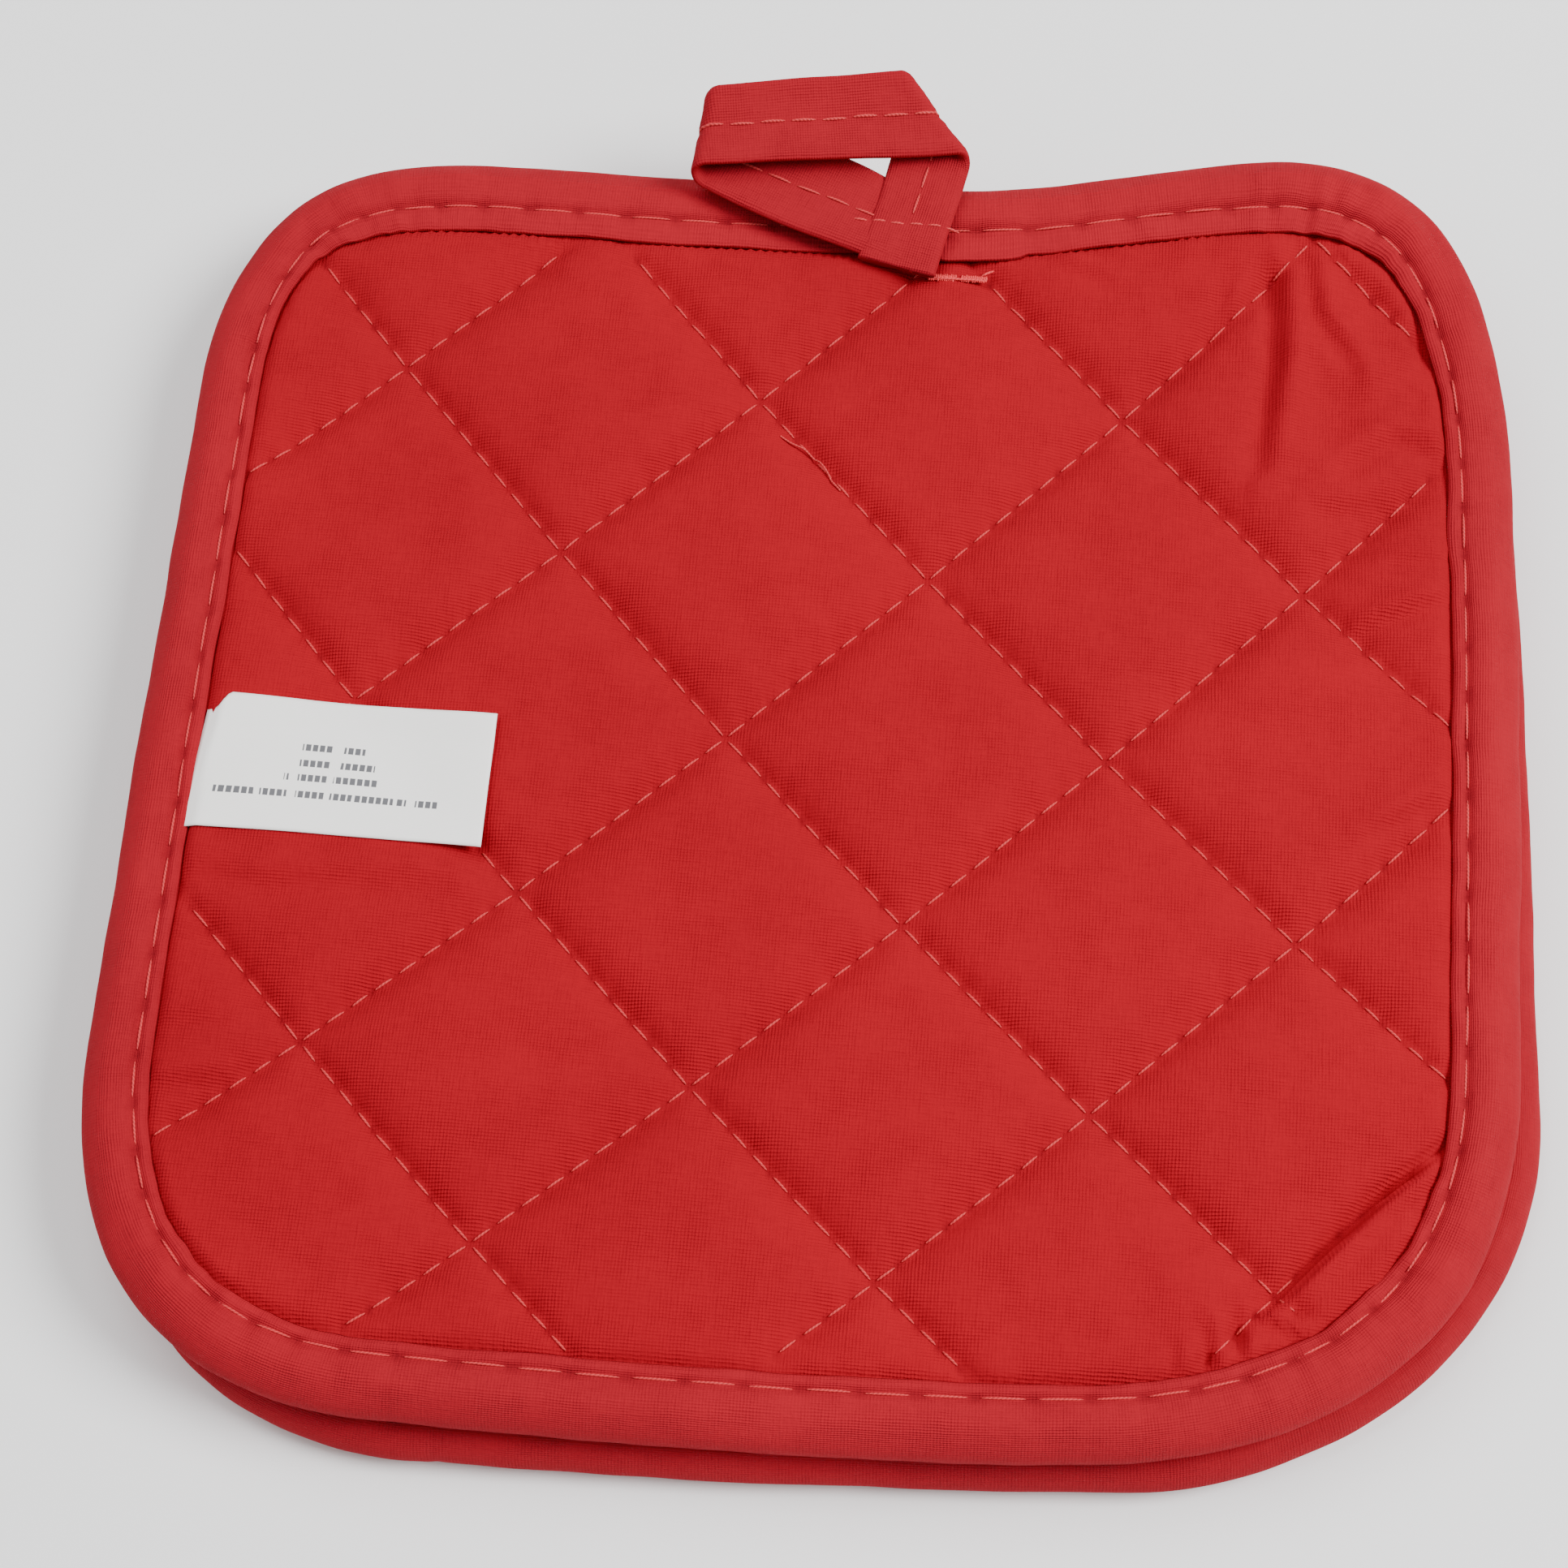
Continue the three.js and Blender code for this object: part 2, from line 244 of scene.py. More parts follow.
def faces_of(piece):
    return [tuple(face.vertices) for face in piece.data.polygons]


def height_on(tree, x, y, from_above=True, otherwise=FLAT_HEIGHT):
    """Height of a surface at a place, or the height given where the surface has ended."""
    start, way = (30.0, -1.0) if from_above else (-30.0, 1.0)
    hit = tree.ray_cast(Vector((x, y, start)), Vector((0, 0, way)))[0]
    return hit.z if hit else otherwise


# ---- the holder's edge ---------------------------------------------------------------


def trace_edge():
    """Points evenly round the outline, outward directions, sharpness of turn and length."""
    dense, start = [], np.array(EDGE_START, float)
    for b, c, d in EDGE_CURVES:
        t = np.linspace(0, 1, 161)[:-1, None]
        b, c, d = (np.array(k, float) for k in (b, c, d))
        dense.append((1 - t) ** 3 * start + 3 * t * (1 - t) ** 2 * b
                     + 3 * t ** 2 * (1 - t) * c + t ** 3 * d)
        start = d
    dense = np.concatenate(dense)
    closed = np.concatenate([dense, dense[:1]])
    run = np.concatenate([[0], np.cumsum(np.linalg.norm(np.diff(closed, axis=0), axis=1))])
    at = np.arange(STATIONS) / STATIONS * run[-1]
    points = np.stack([np.interp(at, run, closed[:, k]) for k in (0, 1)], 1)
    tangent = np.roll(points, -2, 0) - np.roll(points, 2, 0)
    tangent /= np.linalg.norm(tangent, axis=1)[:, None]
    outward = np.stack([tangent[:, 1], -tangent[:, 0]], 1)
    turn = np.linalg.norm(np.roll(tangent, -6, 0) - np.roll(tangent, 6, 0), axis=1)
    sharp = np.clip(turn / (12 * run[-1] / STATIONS) * 26, 0, 1)
    return points, outward, sharp, at, run[-1]


EDGE, OUTWARD, SHARP, ALONG, EDGE_LENGTH = trace_edge()
WIDTH = BINDING_WIDTH + BINDING_EXTRA_AT_TOP * np.maximum(0, OUTWARD[:, 1]) ** 2
ROW_INSET = 0.79 * BINDING_WIDTH + 0.38 * (WIDTH - BINDING_WIDTH)  # the row of stitches


def inset_at(xy):
    """How far inside the outline places lie, and the binding's width nearest to them."""
    xy = np.asarray(xy, float)
    away = ((xy[:, None, :] - EDGE[None]) ** 2).sum(2)
    near = away.argmin(1)
    reach = EDGE[near] - xy
    return (reach * OUTWARD[near]).sum(1), WIDTH[near]


# ---- quilted panels ---------------------------------------------------------------------


def grid_place(p, q):
    """Where a place on the diagonal quilting grid is; whole p or q is a quilting line."""
    row, column = p + q + 1, p - q
    x = GRID_X + HALF_X * column
    y = GRID_Y + HALF_Y * row + 0.4 * (row + 0.5) ** 2 + 0.27 * np.square(column) - 0.4
    # the last line before the near right corner was sewn a little askew
    askew = np.exp(-((x - 71) ** 2 + (y + 60) ** 2) / 18 ** 2)
    return np.stack([x - 2.0 * askew, y + 1.1 * askew], -1)


def quilt_grid(steps, least_inset):
    """Points (as grid numbers) and faces of the diagonal grid inside the outline."""
    reach = 5 * steps
    numbers = np.arange(-reach, reach + 1)
    gp, gq = (g.ravel() for g in np.meshgrid(numbers, numbers, indexing="ij"))
    xy = grid_place(gp / steps, gq / steps)
    inside = (np.abs(xy) < 95).all(1)
    keep = np.zeros(len(gp), bool)
    keep[inside] = inset_at(xy[inside])[0] > least_inset
    keep = keep.reshape(len(numbers), -1)
    quad = keep[:-1, :-1] & keep[1:, :-1] & keep[:-1, 1:] & keep[1:, 1:]
    used = np.zeros(keep.shape, bool)
    for a, b in ((0, 0), (1, 0), (0, 1), (1, 1)):
        used[a:a + quad.shape[0], b:b + quad.shape[1]] |= quad
    index = np.full(keep.shape, -1)
    index[used] = np.arange(used.sum())
    i, j = np.nonzero(quad)
    faces = np.stack([index[i, j], index[i + 1, j], index[i + 1, j + 1], index[i, j + 1]], 1)
    up, uq = np.nonzero(used)
    return numbers[up], numbers[uq], faces


def puff_up(points, faces, sewn):
    """Lets the stuffing push a layer of cloth up between the seams that hold it down."""
    unit = 0.1  # the simulation works in centimetres
    cloth = new_mesh("settling_cloth", points * unit, faces)
    group = cloth.vertex_groups.new(name="sewn")
    group.add([int(i) for i in np.nonzero(sewn)[0]], 1.0, "REPLACE")
    pick(cloth)
    modifier = cloth.modifiers.new("Cloth", "CLOTH")
    held = modifier.settings
    held.quality = 6
    held.mass = 0.3
    held.air_damping = 3.0
    held.tension_stiffness = held.compression_stiffness = 20
    held.shear_stiffness = 8
    held.bending_stiffness = 0.06
    held.vertex_group_mass = "sewn"
    held.use_pressure = True
    held.uniform_pressure_force = 4.0
    held.shrink_min = held.shrink_max = -0.016
    held.effector_weights.gravity = 0
    modifier.point_cache.frame_start, modifier.point_cache.frame_end = 1, 20
    for step in range(1, 21):
        bpy.context.scene.frame_set(step)
    bpy.ops.object.modifier_apply(modifier=modifier.name)
    bpy.context.scene.frame_set(1)
    settled = places_of(cloth) / unit
    bpy.data.objects.remove(cloth)
    return settled


# Folds pressed into the upper holder's back panel: path, depth, half width, ridge beside it.
NAMED_FOLDS = [
    ([(55.2, 73.0), (55.6, 61.0), (53.8, 45.0)], 1.2, 1.5, 1.1),
    ([(59.6, 76.0), (60.8, 67.6), (66.2, 60.0)], 0.8, 1.1, 0.7),
    ([(49.5, 73.5), (47.0, 65.0)], 0.5, 1.1, 0.45),
    ([(66.0, 45.0), (72.0, 49.5), (78.0, 48.0)], 0.7, 1.4, 0.6),
    ([(62.0, 38.0), (70.0, 40.0)], 0.5, 1.4, 0.5),
    ([(66.0, 79.0), (71.2, 75.4), (75.2, 69.0), (75.8, 61.0)], 1.3, 1.0, 0.0),
    ([(81.5, -44.4), (71.1, -53.9), (61.7, -64.5), (58.9, -67.4)], 1.7, 0.75, 1.6),
    ([(51.2, -71.0), (52.2, -78.0)], 0.8, 0.7, 0.7),
    ([(54.9, -69.0), (56.0, -77.0)], 0.7, 0.7, 0.7),
    ([(58.6, -70.3), (66.5, -73.2)], 0.9, 0.8, 0.8),
    ([(47.5, -73.5), (47.8, -78.5)], 0.5, 0.7, 0.5),
    ([(69.0, 22.2), (79.0, 26.6)], 0.9, 1.0, 0.8),
    ([(72.0, 31.5), (79.0, 33.0)], 0.5, 0.8, 0.5),
    ([(69.7, -6.8), (78.2, -1.6)], 0.6, 1.0, 0.5),
    ([(-79.5, -22.8), (-68.6, -23.8), (-47.0, -22.3)], 0.5, 1.5, 0.45),
    ([(-79.5, -51.0), (-70.7, -49.2)], 0.45, 0.9, 0.4),
    ([(-79.0, -42.5), (-72.0, -42.0)], 0.3, 0.9, 0.3),
    ([(-76.0, 71.5), (-66.9, 74.0), (-56.6, 73.6)], 0.5, 0.9, 0.4),
    ([(-50.8, 73.6), (-38.4, 74.6)], 0.4, 0.9, 0.4),
    ([(24.0, 75.5), (33.0, 72.0)], 0.4, 0.9, 0.4),
]


def fold_height(xy, folds):
    """Height that the named folds add at each place: a crease with a ridge on one side."""
    total = np.zeros(len(xy))
    for path, depth, half, ridge in folds:
        best = np.full(len(xy), 1e9)
        side = np.zeros(len(xy))
        fade = np.ones(len(xy))
        path = np.array(path, float)
        reach = np.linalg.norm(np.diff(path, axis=0), axis=1)
        run = np.concatenate([[0], np.cumsum(reach)])
        for k, (a, b) in enumerate(zip(path[:-1], path[1:])):
            way = (b - a) / reach[k]
            t = np.clip((xy - a) @ way, 0, reach[k])
            off = xy - a - t[:, None] * way
            away = np.linalg.norm(off, axis=1)
            nearer = away < best
            best = np.where(nearer, away, best)
            side = np.where(nearer, off @ np.array([-way[1], way[0]]), side)
            share = (run[k] + t) / run[-1]
            fade = np.where(nearer, np.sqrt(np.clip(np.sin(math.pi * (0.1 + 0.8 * share)), 0, 1)),
                            fade)
        crease = -depth * np.exp(-(best / half) ** 2)
        lip = ridge * np.exp(-((best - 2.0 * half) / (1.2 * half)) ** 2) * (side > 0)
        total += fade * (crease + lip)
    return total


def quilted_surface():
    """The top of a quilted panel: its points in holder millimetres, faces and grid places."""
    steps = SIDE_STEPS
    gp, gq, faces = quilt_grid(steps, 4.2)
    xy = grid_place(gp / steps, gq / steps)
    inset, width = inset_at(xy)
    on_line = (gp % steps == 0) | (gq % steps == 0)
    under = inset < width + 0.3
    pillow = np.abs(np.sin(math.pi * gp / steps) * np.sin(math.pi * gq / steps))
    z = np.where(on_line, SEAM_HEIGHT, FLAT_HEIGHT + 0.7 * pillow ** 0.6)
    rim = smooth(0, 6, inset - width)
    z = z * rim + RIM_HEIGHT * (1 - rim)
    points = np.column_stack([xy, z])
    hole = on_line & (gp % STITCH_STEPS == 0) & (gq % STITCH_STEPS == 0)
    slack = points.copy()
    slack[:, 2] += np.where(on_line | under, 0, 0.12 * grain(xy[:, 0] / 2.6, xy[:, 1] / 2.6))
    puffed = puff_up(slack, faces, hole | (inset < width - 1.0))
    rise = puffed[:, 2] - points[:, 2]
    cap = sizes().puff / MM * 1.25
    points[:, 2] += cap * np.tanh(rise / cap)
    sway = puffed[:, :2] - xy
    far = np.maximum(np.linalg.norm(sway, axis=1), 1e-9)
    points[:, :2] += sway * (np.minimum(far, 0.8) / far)[:, None]
    return points, faces, gp / steps, gq / steps


def line_distance(share):
    """How far a grid place is from the nearest quilting line, in shares of a side."""
    return np.abs(share - np.round(share))


def dress_panel(points, p, q, folds):
    """Sinks the seams and every needle hole, and presses in the folds. Also gives each place its
    painted shade: darker in the needle hole and under the binding's lip.
    """
    side = math.hypot(HALF_X, HALF_Y)
    pitch = side * STITCH_STEPS / SIDE_STEPS
    dp, dq = line_distance(p) * side, line_distance(q) * side
    out = points.copy()
    inset, width = inset_at(points[:, :2])
    sunk = np.zeros(len(out))
    for across, along in ((dp, q), (dq, p)):
        hole = np.abs(along * side / pitch - np.round(along * side / pitch)) * pitch
        seam = SEAM_SINK * np.exp(-(across / 0.9) ** 2)
        needle = NEEDLE_SINK * np.exp(-(across / 0.8) ** 2 - (hole / 0.8) ** 2)
        sunk = np.maximum(sunk, seam + needle)
        # small pleats that run away from the stitches, some longer than others
        reach = 2.4 + 1.6 * grain(along * side / 5.0, 1.0, 12.0)
        pleat = np.cos(2 * math.pi * along * side / pitch + 0.9) * np.exp(-across / reach)
        out[:, 2] += PLEAT_HEIGHT * pleat * smooth(0.4, 1.2, across)
    out[:, 2] -= sunk
    uneven = 0.55 + 0.9 * grain(points[:, 0] / 6.5, points[:, 1] / 6.5, 17.0)
    # Painted shade in the deepest part of each needle hole, stronger along some stretches than
    # others.
    shadow = np.clip((sunk - 0.34) / 0.3, 0, 1) * np.clip(uneven, 0.1, 1)
    pull = np.exp(-np.maximum(0, inset - width) / 4.0)
    out[:, 2] += 0.45 * pull * grain(points[:, 0] / 4.2, points[:, 1] / 4.2, 7.0)
    out[:, 2] += 0.28 * grain(points[:, 0] / 13, points[:, 1] / 13, 3.0)
    rumpled = smooth(34, 62, points[:, 0]) * smooth(26, 60, points[:, 1]) if folds else 0
    out[:, 2] += 0.9 * rumpled * grain(points[:, 0] / 8.5, points[:, 1] / 11, 31.0)
    if folds:
        out[:, 2] += fold_height(points[:, :2], folds)
    out[:, 2] = np.where(out[:, 2] < 4.6, 4.25 + 0.35 * np.exp((out[:, 2] - 4.6) / 0.35),
                         out[:, 2])
    hidden = smooth(0.9, -0.5, inset - width)
    out[:, 2] = out[:, 2] * (1 - hidden) + np.minimum(out[:, 2], 5.7) * hidden
    # The painted shade also darkens the strip of panel under the binding's lip.
    return out, np.maximum(shadow, 0.25 * smooth(0.6, -0.2, inset - width))


def subdivided(points, faces, p, q, levels=1):
    """Smooths a panel's mesh, carrying its grid places along."""
    guide = new_mesh("guide", np.column_stack([p, q, np.zeros(len(p))]), faces)
    cloth = new_mesh("cloth", points, faces)
    out = []
    for piece, kind in ((cloth, "CATMULL_CLARK"), (guide, "SIMPLE")):
        apply_modifier(piece, "SUBSURF", levels=levels, render_levels=levels,
                       subdivision_type=kind)
        out.append(places_of(piece))
    quads = np.array(faces_of(cloth))
    for piece in (guide, cloth):
        bpy.data.objects.remove(piece)
    return out[0], quads, out[1][:, 0], out[1][:, 1]


def mirrored(points):
    flipped = points.copy()
    flipped[:, 2] = PAD_THICKNESS - flipped[:, 2]
    return flipped


def store_painted_hole_shade(piece, amounts):
    """Stores each place's painted shade, darker in a needle hole and under a lip, for the cloth's
    colour.
    """
    # The needle attribute holds painted shade.
    layer = piece.data.attributes.new("needle", "FLOAT", "POINT")
    layer.data.foreach_set("value", np.asarray(amounts, np.float32))


def make_panel(name, holder, points, faces, face_side, thickness, hole_shade):
    """One cotton panel, closed, laid on its holder. Its weave runs along the holder's sides."""
    if face_side:
        points, faces = mirrored(points), faces[:, ::-1]
    uv = points[faces.ravel()][:, :2]
    panel = new_mesh(name, lay_down(points, holder), faces, uv)
    store_painted_hole_shade(panel, hole_shade)
    apply_modifier(panel, "SOLIDIFY", thickness=thickness, offset=-1)
    return panel


# ---- binding -------------------------------------------------------------------------


def roll_height(inset):
    return MID_HEIGHT * np.sqrt(1 - (1 - np.clip(inset / 4.4, 0, 1)) ** 2)


def binding_points(seed):
    """Places of the binding's section at every station, and the painted shade each gets near a
    needle hole.
    """
    s, sharp, width, row = ALONG, SHARP, WIDTH, ROW_INSET
    rows = []
    stitch = s / EDGE_LENGTH * topstitch_count()
    hole = np.abs(stitch - np.round(stitch)) * EDGE_LENGTH / topstitch_count()
    needle = np.exp(-(hole / 0.9) ** 2)
    insets = [0.05, 0.22, 0.55, 1.05, 1.8, 2.7, 3.7]
    steps = [np.full(STATIONS, v) for v in insets]
    steps += [3.7 + (row - 3.7 - 1.5) * k / 3 for k in (1, 2, 3)]
    steps += [row - 0.9, row - 0.5, row - 0.22, row + 0.08, row + 0.4]
    steps += [row + (width - row) * k for k in (0.42, 0.62, 0.8, 0.91, 0.98)]
    for side in (1, -1):
        top = []
        for inset in steps:
            z = roll_height(inset)
            puff = smooth(1.5, 4.0, inset) * smooth(row, row - 2.4, inset)
            z = z + 0.3 * puff
            z = z - (0.45 + 0.3 * needle) * np.exp(-((inset - row) / 0.5) ** 2)
            z = z - 0.35 * smooth(row + 0.2, width, inset)
            z = z - 0.35 * smooth(width - 0.4, width, inset)
            ripple = grain(s / 7.5, inset / 3.5, seed + side)
            ripple = ripple + 0.9 * grain(s / 19, inset / 6.0, seed + side + 50)
            gather = grain(s / 2.7, inset / 9.0, seed + 4 * side + 9)
            z = z + (0.26 + 0.25 * sharp) * ripple * smooth(0.2, 3.0, inset)
            z = z + (0.08 + 0.5 * sharp) * gather * smooth(1.0, 5.5, inset)
            # between the needle holes the tape stands up a little
            near_row = np.exp(-((inset - row) / 1.9) ** 2)
            z = z + 0.16 * near_row * (0.5 - needle) * smooth(0.1, 0.5, np.abs(inset - row))
            top.append((inset, z))
        rows.append(top)
    mouth = 0.35 * grain(s / 11, 0.0, seed + 30) + 0.25 * sharp * grain(s / 3.1, 0.0, seed + 40)
    belly = 0.4 * grain(s / 21, 0.0, seed + 20) + 0.12 * grain(s / 6, 0.0, seed + 24)
    section = []
    for inset, z in reversed(rows[0]):
        section.append((inset + mouth * smooth(row, width, inset), MID_HEIGHT + z))
    section.append((0, MID_HEIGHT))
    for inset, z in rows[1]:
        section.append((inset + mouth * smooth(row, width, inset), MID_HEIGHT - z))
    # the inside of the folded tape
    section += [(width - 0.5, TAPE_WALL), (1.5, TAPE_WALL), (1.2, MID_HEIGHT),
                (1.5, PAD_THICKNESS - TAPE_WALL), (width - 0.5, PAD_THICKNESS - TAPE_WALL)]
    out, hole_shade = [], []
    for inset, z in section:
        place = EDGE - OUTWARD * (inset + belly)[:, None]
        out.append(np.column_stack([place, np.broadcast_to(z, STATIONS)]))
        # painted shade at each needle hole of the row round the binding
        hole_shade.append(needle * np.exp(-((inset - row) / 0.45) ** 2))
    return np.stack(out, 1), np.stack(hole_shade, 1)


def topstitch_count():
    return round(EDGE_LENGTH / (sizes().binding_stitch / MM))


def ring_faces(count, around):
    faces, corners = [], []
    for i in range(count):
        k = (i + 1) % count
        for j in range(around):
            m = (j + 1) % around
            faces.append((i * around + j, i * around + m, k * around + m, k * around + j))
            corners.append(((i, j), (i, j + 1), (i + 1, j + 1), (i + 1, j)))
    return faces, corners


def make_binding(name, holder, seed):
    places, hole_shade = binding_points(seed)
    around = places.shape[1]
    # where the tape's two ends overlap at the top edge, the upper end stands proud
    x, y = places[..., 0], places[..., 1]
    overlap = smooth(9.4, 10.0, x) * smooth(22.0, 20.6, x) * (y > 60)
    lip = smooth(78.5, 76.2, y)
    places[..., 2] += overlap * (0.25 + 0.35 * lip) * (places[..., 2] > 6.0)
    places[..., 1] -= overlap * 1.1 * lip * (places[..., 2] > 6.0)
    faces, corners = ring_faces(STATIONS, around)
    moves = np.diff(places[0], axis=0)
    moved = np.linalg.norm(moves[:, :2], axis=1) + np.abs(moves[:, 2])
    across = np.cumsum([0, *moved, 1.0])
    step = EDGE_LENGTH / STATIONS
    uv = [(i * step, across[j]) for face in corners for i, j in face]
    binding = new_mesh(name, places.reshape(-1, 3), faces, uv)
    store_painted_hole_shade(binding, hole_shade.ravel())
    tree = seat_tree(places_of(binding), faces)
    move_to(binding, lay_down(places_of(binding), holder))
    return binding, tree


# ---- stitches ---------------------------------------------------------------------------


def stitch_shape():
    """One stitch, a small rounded bar one unit long: its points and faces."""
    deselect_all()
    bpy.ops.mesh.primitive_uv_sphere_add(segments=8, ring_count=6, radius=1.0)
    ball = bpy.context.active_object
    points = places_of(ball)
    points = np.column_stack([points[:, 2], points[:, 0], points[:, 1]])
    # the ball's rings are spread out so that the bar is round-ended, not pointed
    points[:, 0] = np.sign(points[:, 0]) * np.abs(points[:, 0]) ** 0.8 / 2
    faces = faces_of(ball)
    bpy.data.objects.remove(ball)
    return points, faces


def sew(name, holder, ends, radius, sag=0.16, shape=None):
    """Rows of stitches from end to end: each pair of ends is in holder millimetres."""
    bar, bar_faces = shape or stitch_shape()
    points, faces, uv = [], [], []
    run = 0.0
    for a, b in ends:
        a, b = np.asarray(a, float), np.asarray(b, float)
        way = b - a
        length = np.linalg.norm(way)
        way /= length
        side = np.cross([0, 0, 1], way)
        side /= np.linalg.norm(side)
        up = np.cross(way, side)
        mid = (a + b) / 2
        arch = 1 - 4 * bar[:, 0] ** 2
        placed = (mid + np.outer(bar[:, 0] * length, way) + np.outer(bar[:, 1] * radius, side)
                  + np.outer(bar[:, 2] * radius + (arch - 1) * sag, up))
        base = len(points) * len(bar)
        points.append(placed)
        for face in bar_faces:
            faces.append(tuple(base + v for v in face))
            uv += [(run + bar[v, 0] * length, bar[v, 1] * radius) for v in face]
        run += length + 1
    points = np.concatenate(points)
    return new_mesh(name, lay_down(points, holder), faces, uv)


def seated(tree, pair, lean, from_above):
    """Both ends of a stitch on a surface, lifted clear of any bulge between them."""
    out = 1 if from_above else -1
    (ax, ay), (bx, by) = pair
    ax, bx = ax + lean, bx - lean
    a, b = height_on(tree, ax, ay, from_above), height_on(tree, bx, by, from_above)
    middle = height_on(tree, (ax + bx) / 2, (ay + by) / 2, from_above)
    lift = STITCH_LIFT + min(0.5, max(0.0, out * (middle - (a + b) / 2)))
    return [(ax, ay, a + out * lift), (bx, by, b + out * lift)]


def quilting_ends(tree, from_above):
    """Both ends of every quilting stitch, seated on a panel's surface."""
    pitch = STITCH_STEPS / SIDE_STEPS
    ends = []
    for along_p in (True, False):
        for line in range(-4, 5):
            for k in range(-40, 40):
                start, stop = (k + 0.12) * pitch, (k + 0.84) * pitch
                pair = [grid_place(t, line) if along_p else grid_place(line, t)
                        for t in (start, stop)]
                inset, width = inset_at(np.array(pair))
                if (inset < width + 0.2).any():
                    continue
                wander = 0.16 * noise.noise(Vector((k * 0.7, line * 3.1, 2.0 + along_p)))
                x, y = pair[0]
                if x > 61.5 and y < -42 and along_p:
                    continue  # lost in the deep fold at the near right corner
                if 8 < x < 19 and y > 70:
                    continue  # under the bar of stitches beside the loop
                ends.append(seated(tree, pair, wander, from_above))
    return ends


def topstitch_ends(tree, from_above):
    """Both ends of every stitch in the row round the binding."""
    count = topstitch_count()
    ends = []
    for k in range(count):
        placed = []
        for share in (k + 0.1, k + 0.9):
            at = share / count * STATIONS
            i = int(at) % STATIONS
            j, t = (i + 1) % STATIONS, at - int(at)
            place = EDGE[i] * (1 - t) + EDGE[j] * t
            out = OUTWARD[i] * (1 - t) + OUTWARD[j] * t
            wander = 0.18 * noise.noise(Vector((k * 0.53, 1.0 if from_above else 5.0, 0)))
            x, y = place - out * (ROW_INSET[i] + wander)
            placed.append((x, y))
        ends.append(seated(tree, placed, 0.0, from_above))
    return ends


# ---- hanging loop -----------------------------------------------------------------------

LOOP_OUT = {
    "start": (5.4, 77.8, 8.95), "heading": math.radians(77.5),
    "creases": [(16.8, math.radians(55), math.radians(176), 1.1),
                (51.2, math.radians(104), math.radians(180), 1.7)],
    "from": -5.4, "to": 87.0, "slack": (53.0, 85.0),
    "rise": lambda y: 0.024 * np.maximum(0, y - 84) ** 2 - 0.9 * smooth(77.5, 72, y),
}
LOOP_IN = {
    "start": (11.2, 75.6, 6.85), "heading": math.radians(-90),
    "creases": [(18.0, math.radians(135), math.radians(180), 0.62),
                (30.4, math.radians(45), math.radians(180), 0.62)],
    "from": -6.6, "to": 55.0, "slack": None,
    "rise": lambda y: 0.95 * smooth(72, 75.4, y),
}


def fold_strip(route, flat):
    """Folds places on a flat strip (along, across, up), each crease turning what is beyond it."""
    f = flat.copy()
    for at, angle, turn, radius in reversed(route["creases"]):
        ahead = np.array([math.sin(angle), -math.cos(angle)])
        side = np.array([math.cos(angle), math.sin(angle)])
        half = radius * turn / 2
        past = (flat[:, 0] - at) * ahead[0] + flat[:, 1] * ahead[1]
        held = np.stack([f[:, 0] - at, f[:, 1]], 1)
        beside = held @ side
        bend = np.clip((past + half) / radius, 0, turn)
        rest = np.where(past > half, held @ ahead - half, 0)
        forward = -half + (radius - f[:, 2]) * np.sin(bend) + rest * np.cos(bend)
        up = radius - (radius - f[:, 2]) * np.cos(bend) + rest * np.sin(bend)
        turned = np.stack([at + forward * ahead[0] + beside * side[0],
                           forward * ahead[1] + beside * side[1], up], 1)
        f = np.where((past > -half)[:, None], turned, f)
    cos, sin = math.cos(route["heading"]), math.sin(route["heading"])
    x = route["start"][0] + f[:, 0] * cos - f[:, 1] * sin
    y = route["start"][1] + f[:, 0] * sin + f[:, 1] * cos
    return np.stack([x, y, route["start"][2] + f[:, 2] + route["rise"](y)], 1)


def tape_surface(route, u, v, side, thickness, seed):
    """Height of a tape's face above its middle, with its doubled edges, seam and wrinkles."""
    half = TAPE_WIDTH / 2
    edge = np.clip(np.abs(v) / half, 0, 1)
    t = thickness / 2 * (1 - edge ** 7) ** 0.4
    t = t + 0.1 * np.exp(-((np.abs(v) - 4.6) / 0.7) ** 2) - 0.2 * np.exp(-(v / 0.55) ** 2)
    wrinkle = 0.12 * grain(u / 5.0, v / 4.0, seed + side)
    for at, angle, _, _ in route["creases"]:
        away = np.abs((u - at) * math.sin(angle) - v * math.cos(angle))
        wrinkle = wrinkle + 0.22 * np.exp(-away / 3.0) * grain(u / 1.7, v / 3.4, seed + side + 5)
    return side * t + wrinkle * smooth(1.0, 0.8, edge)


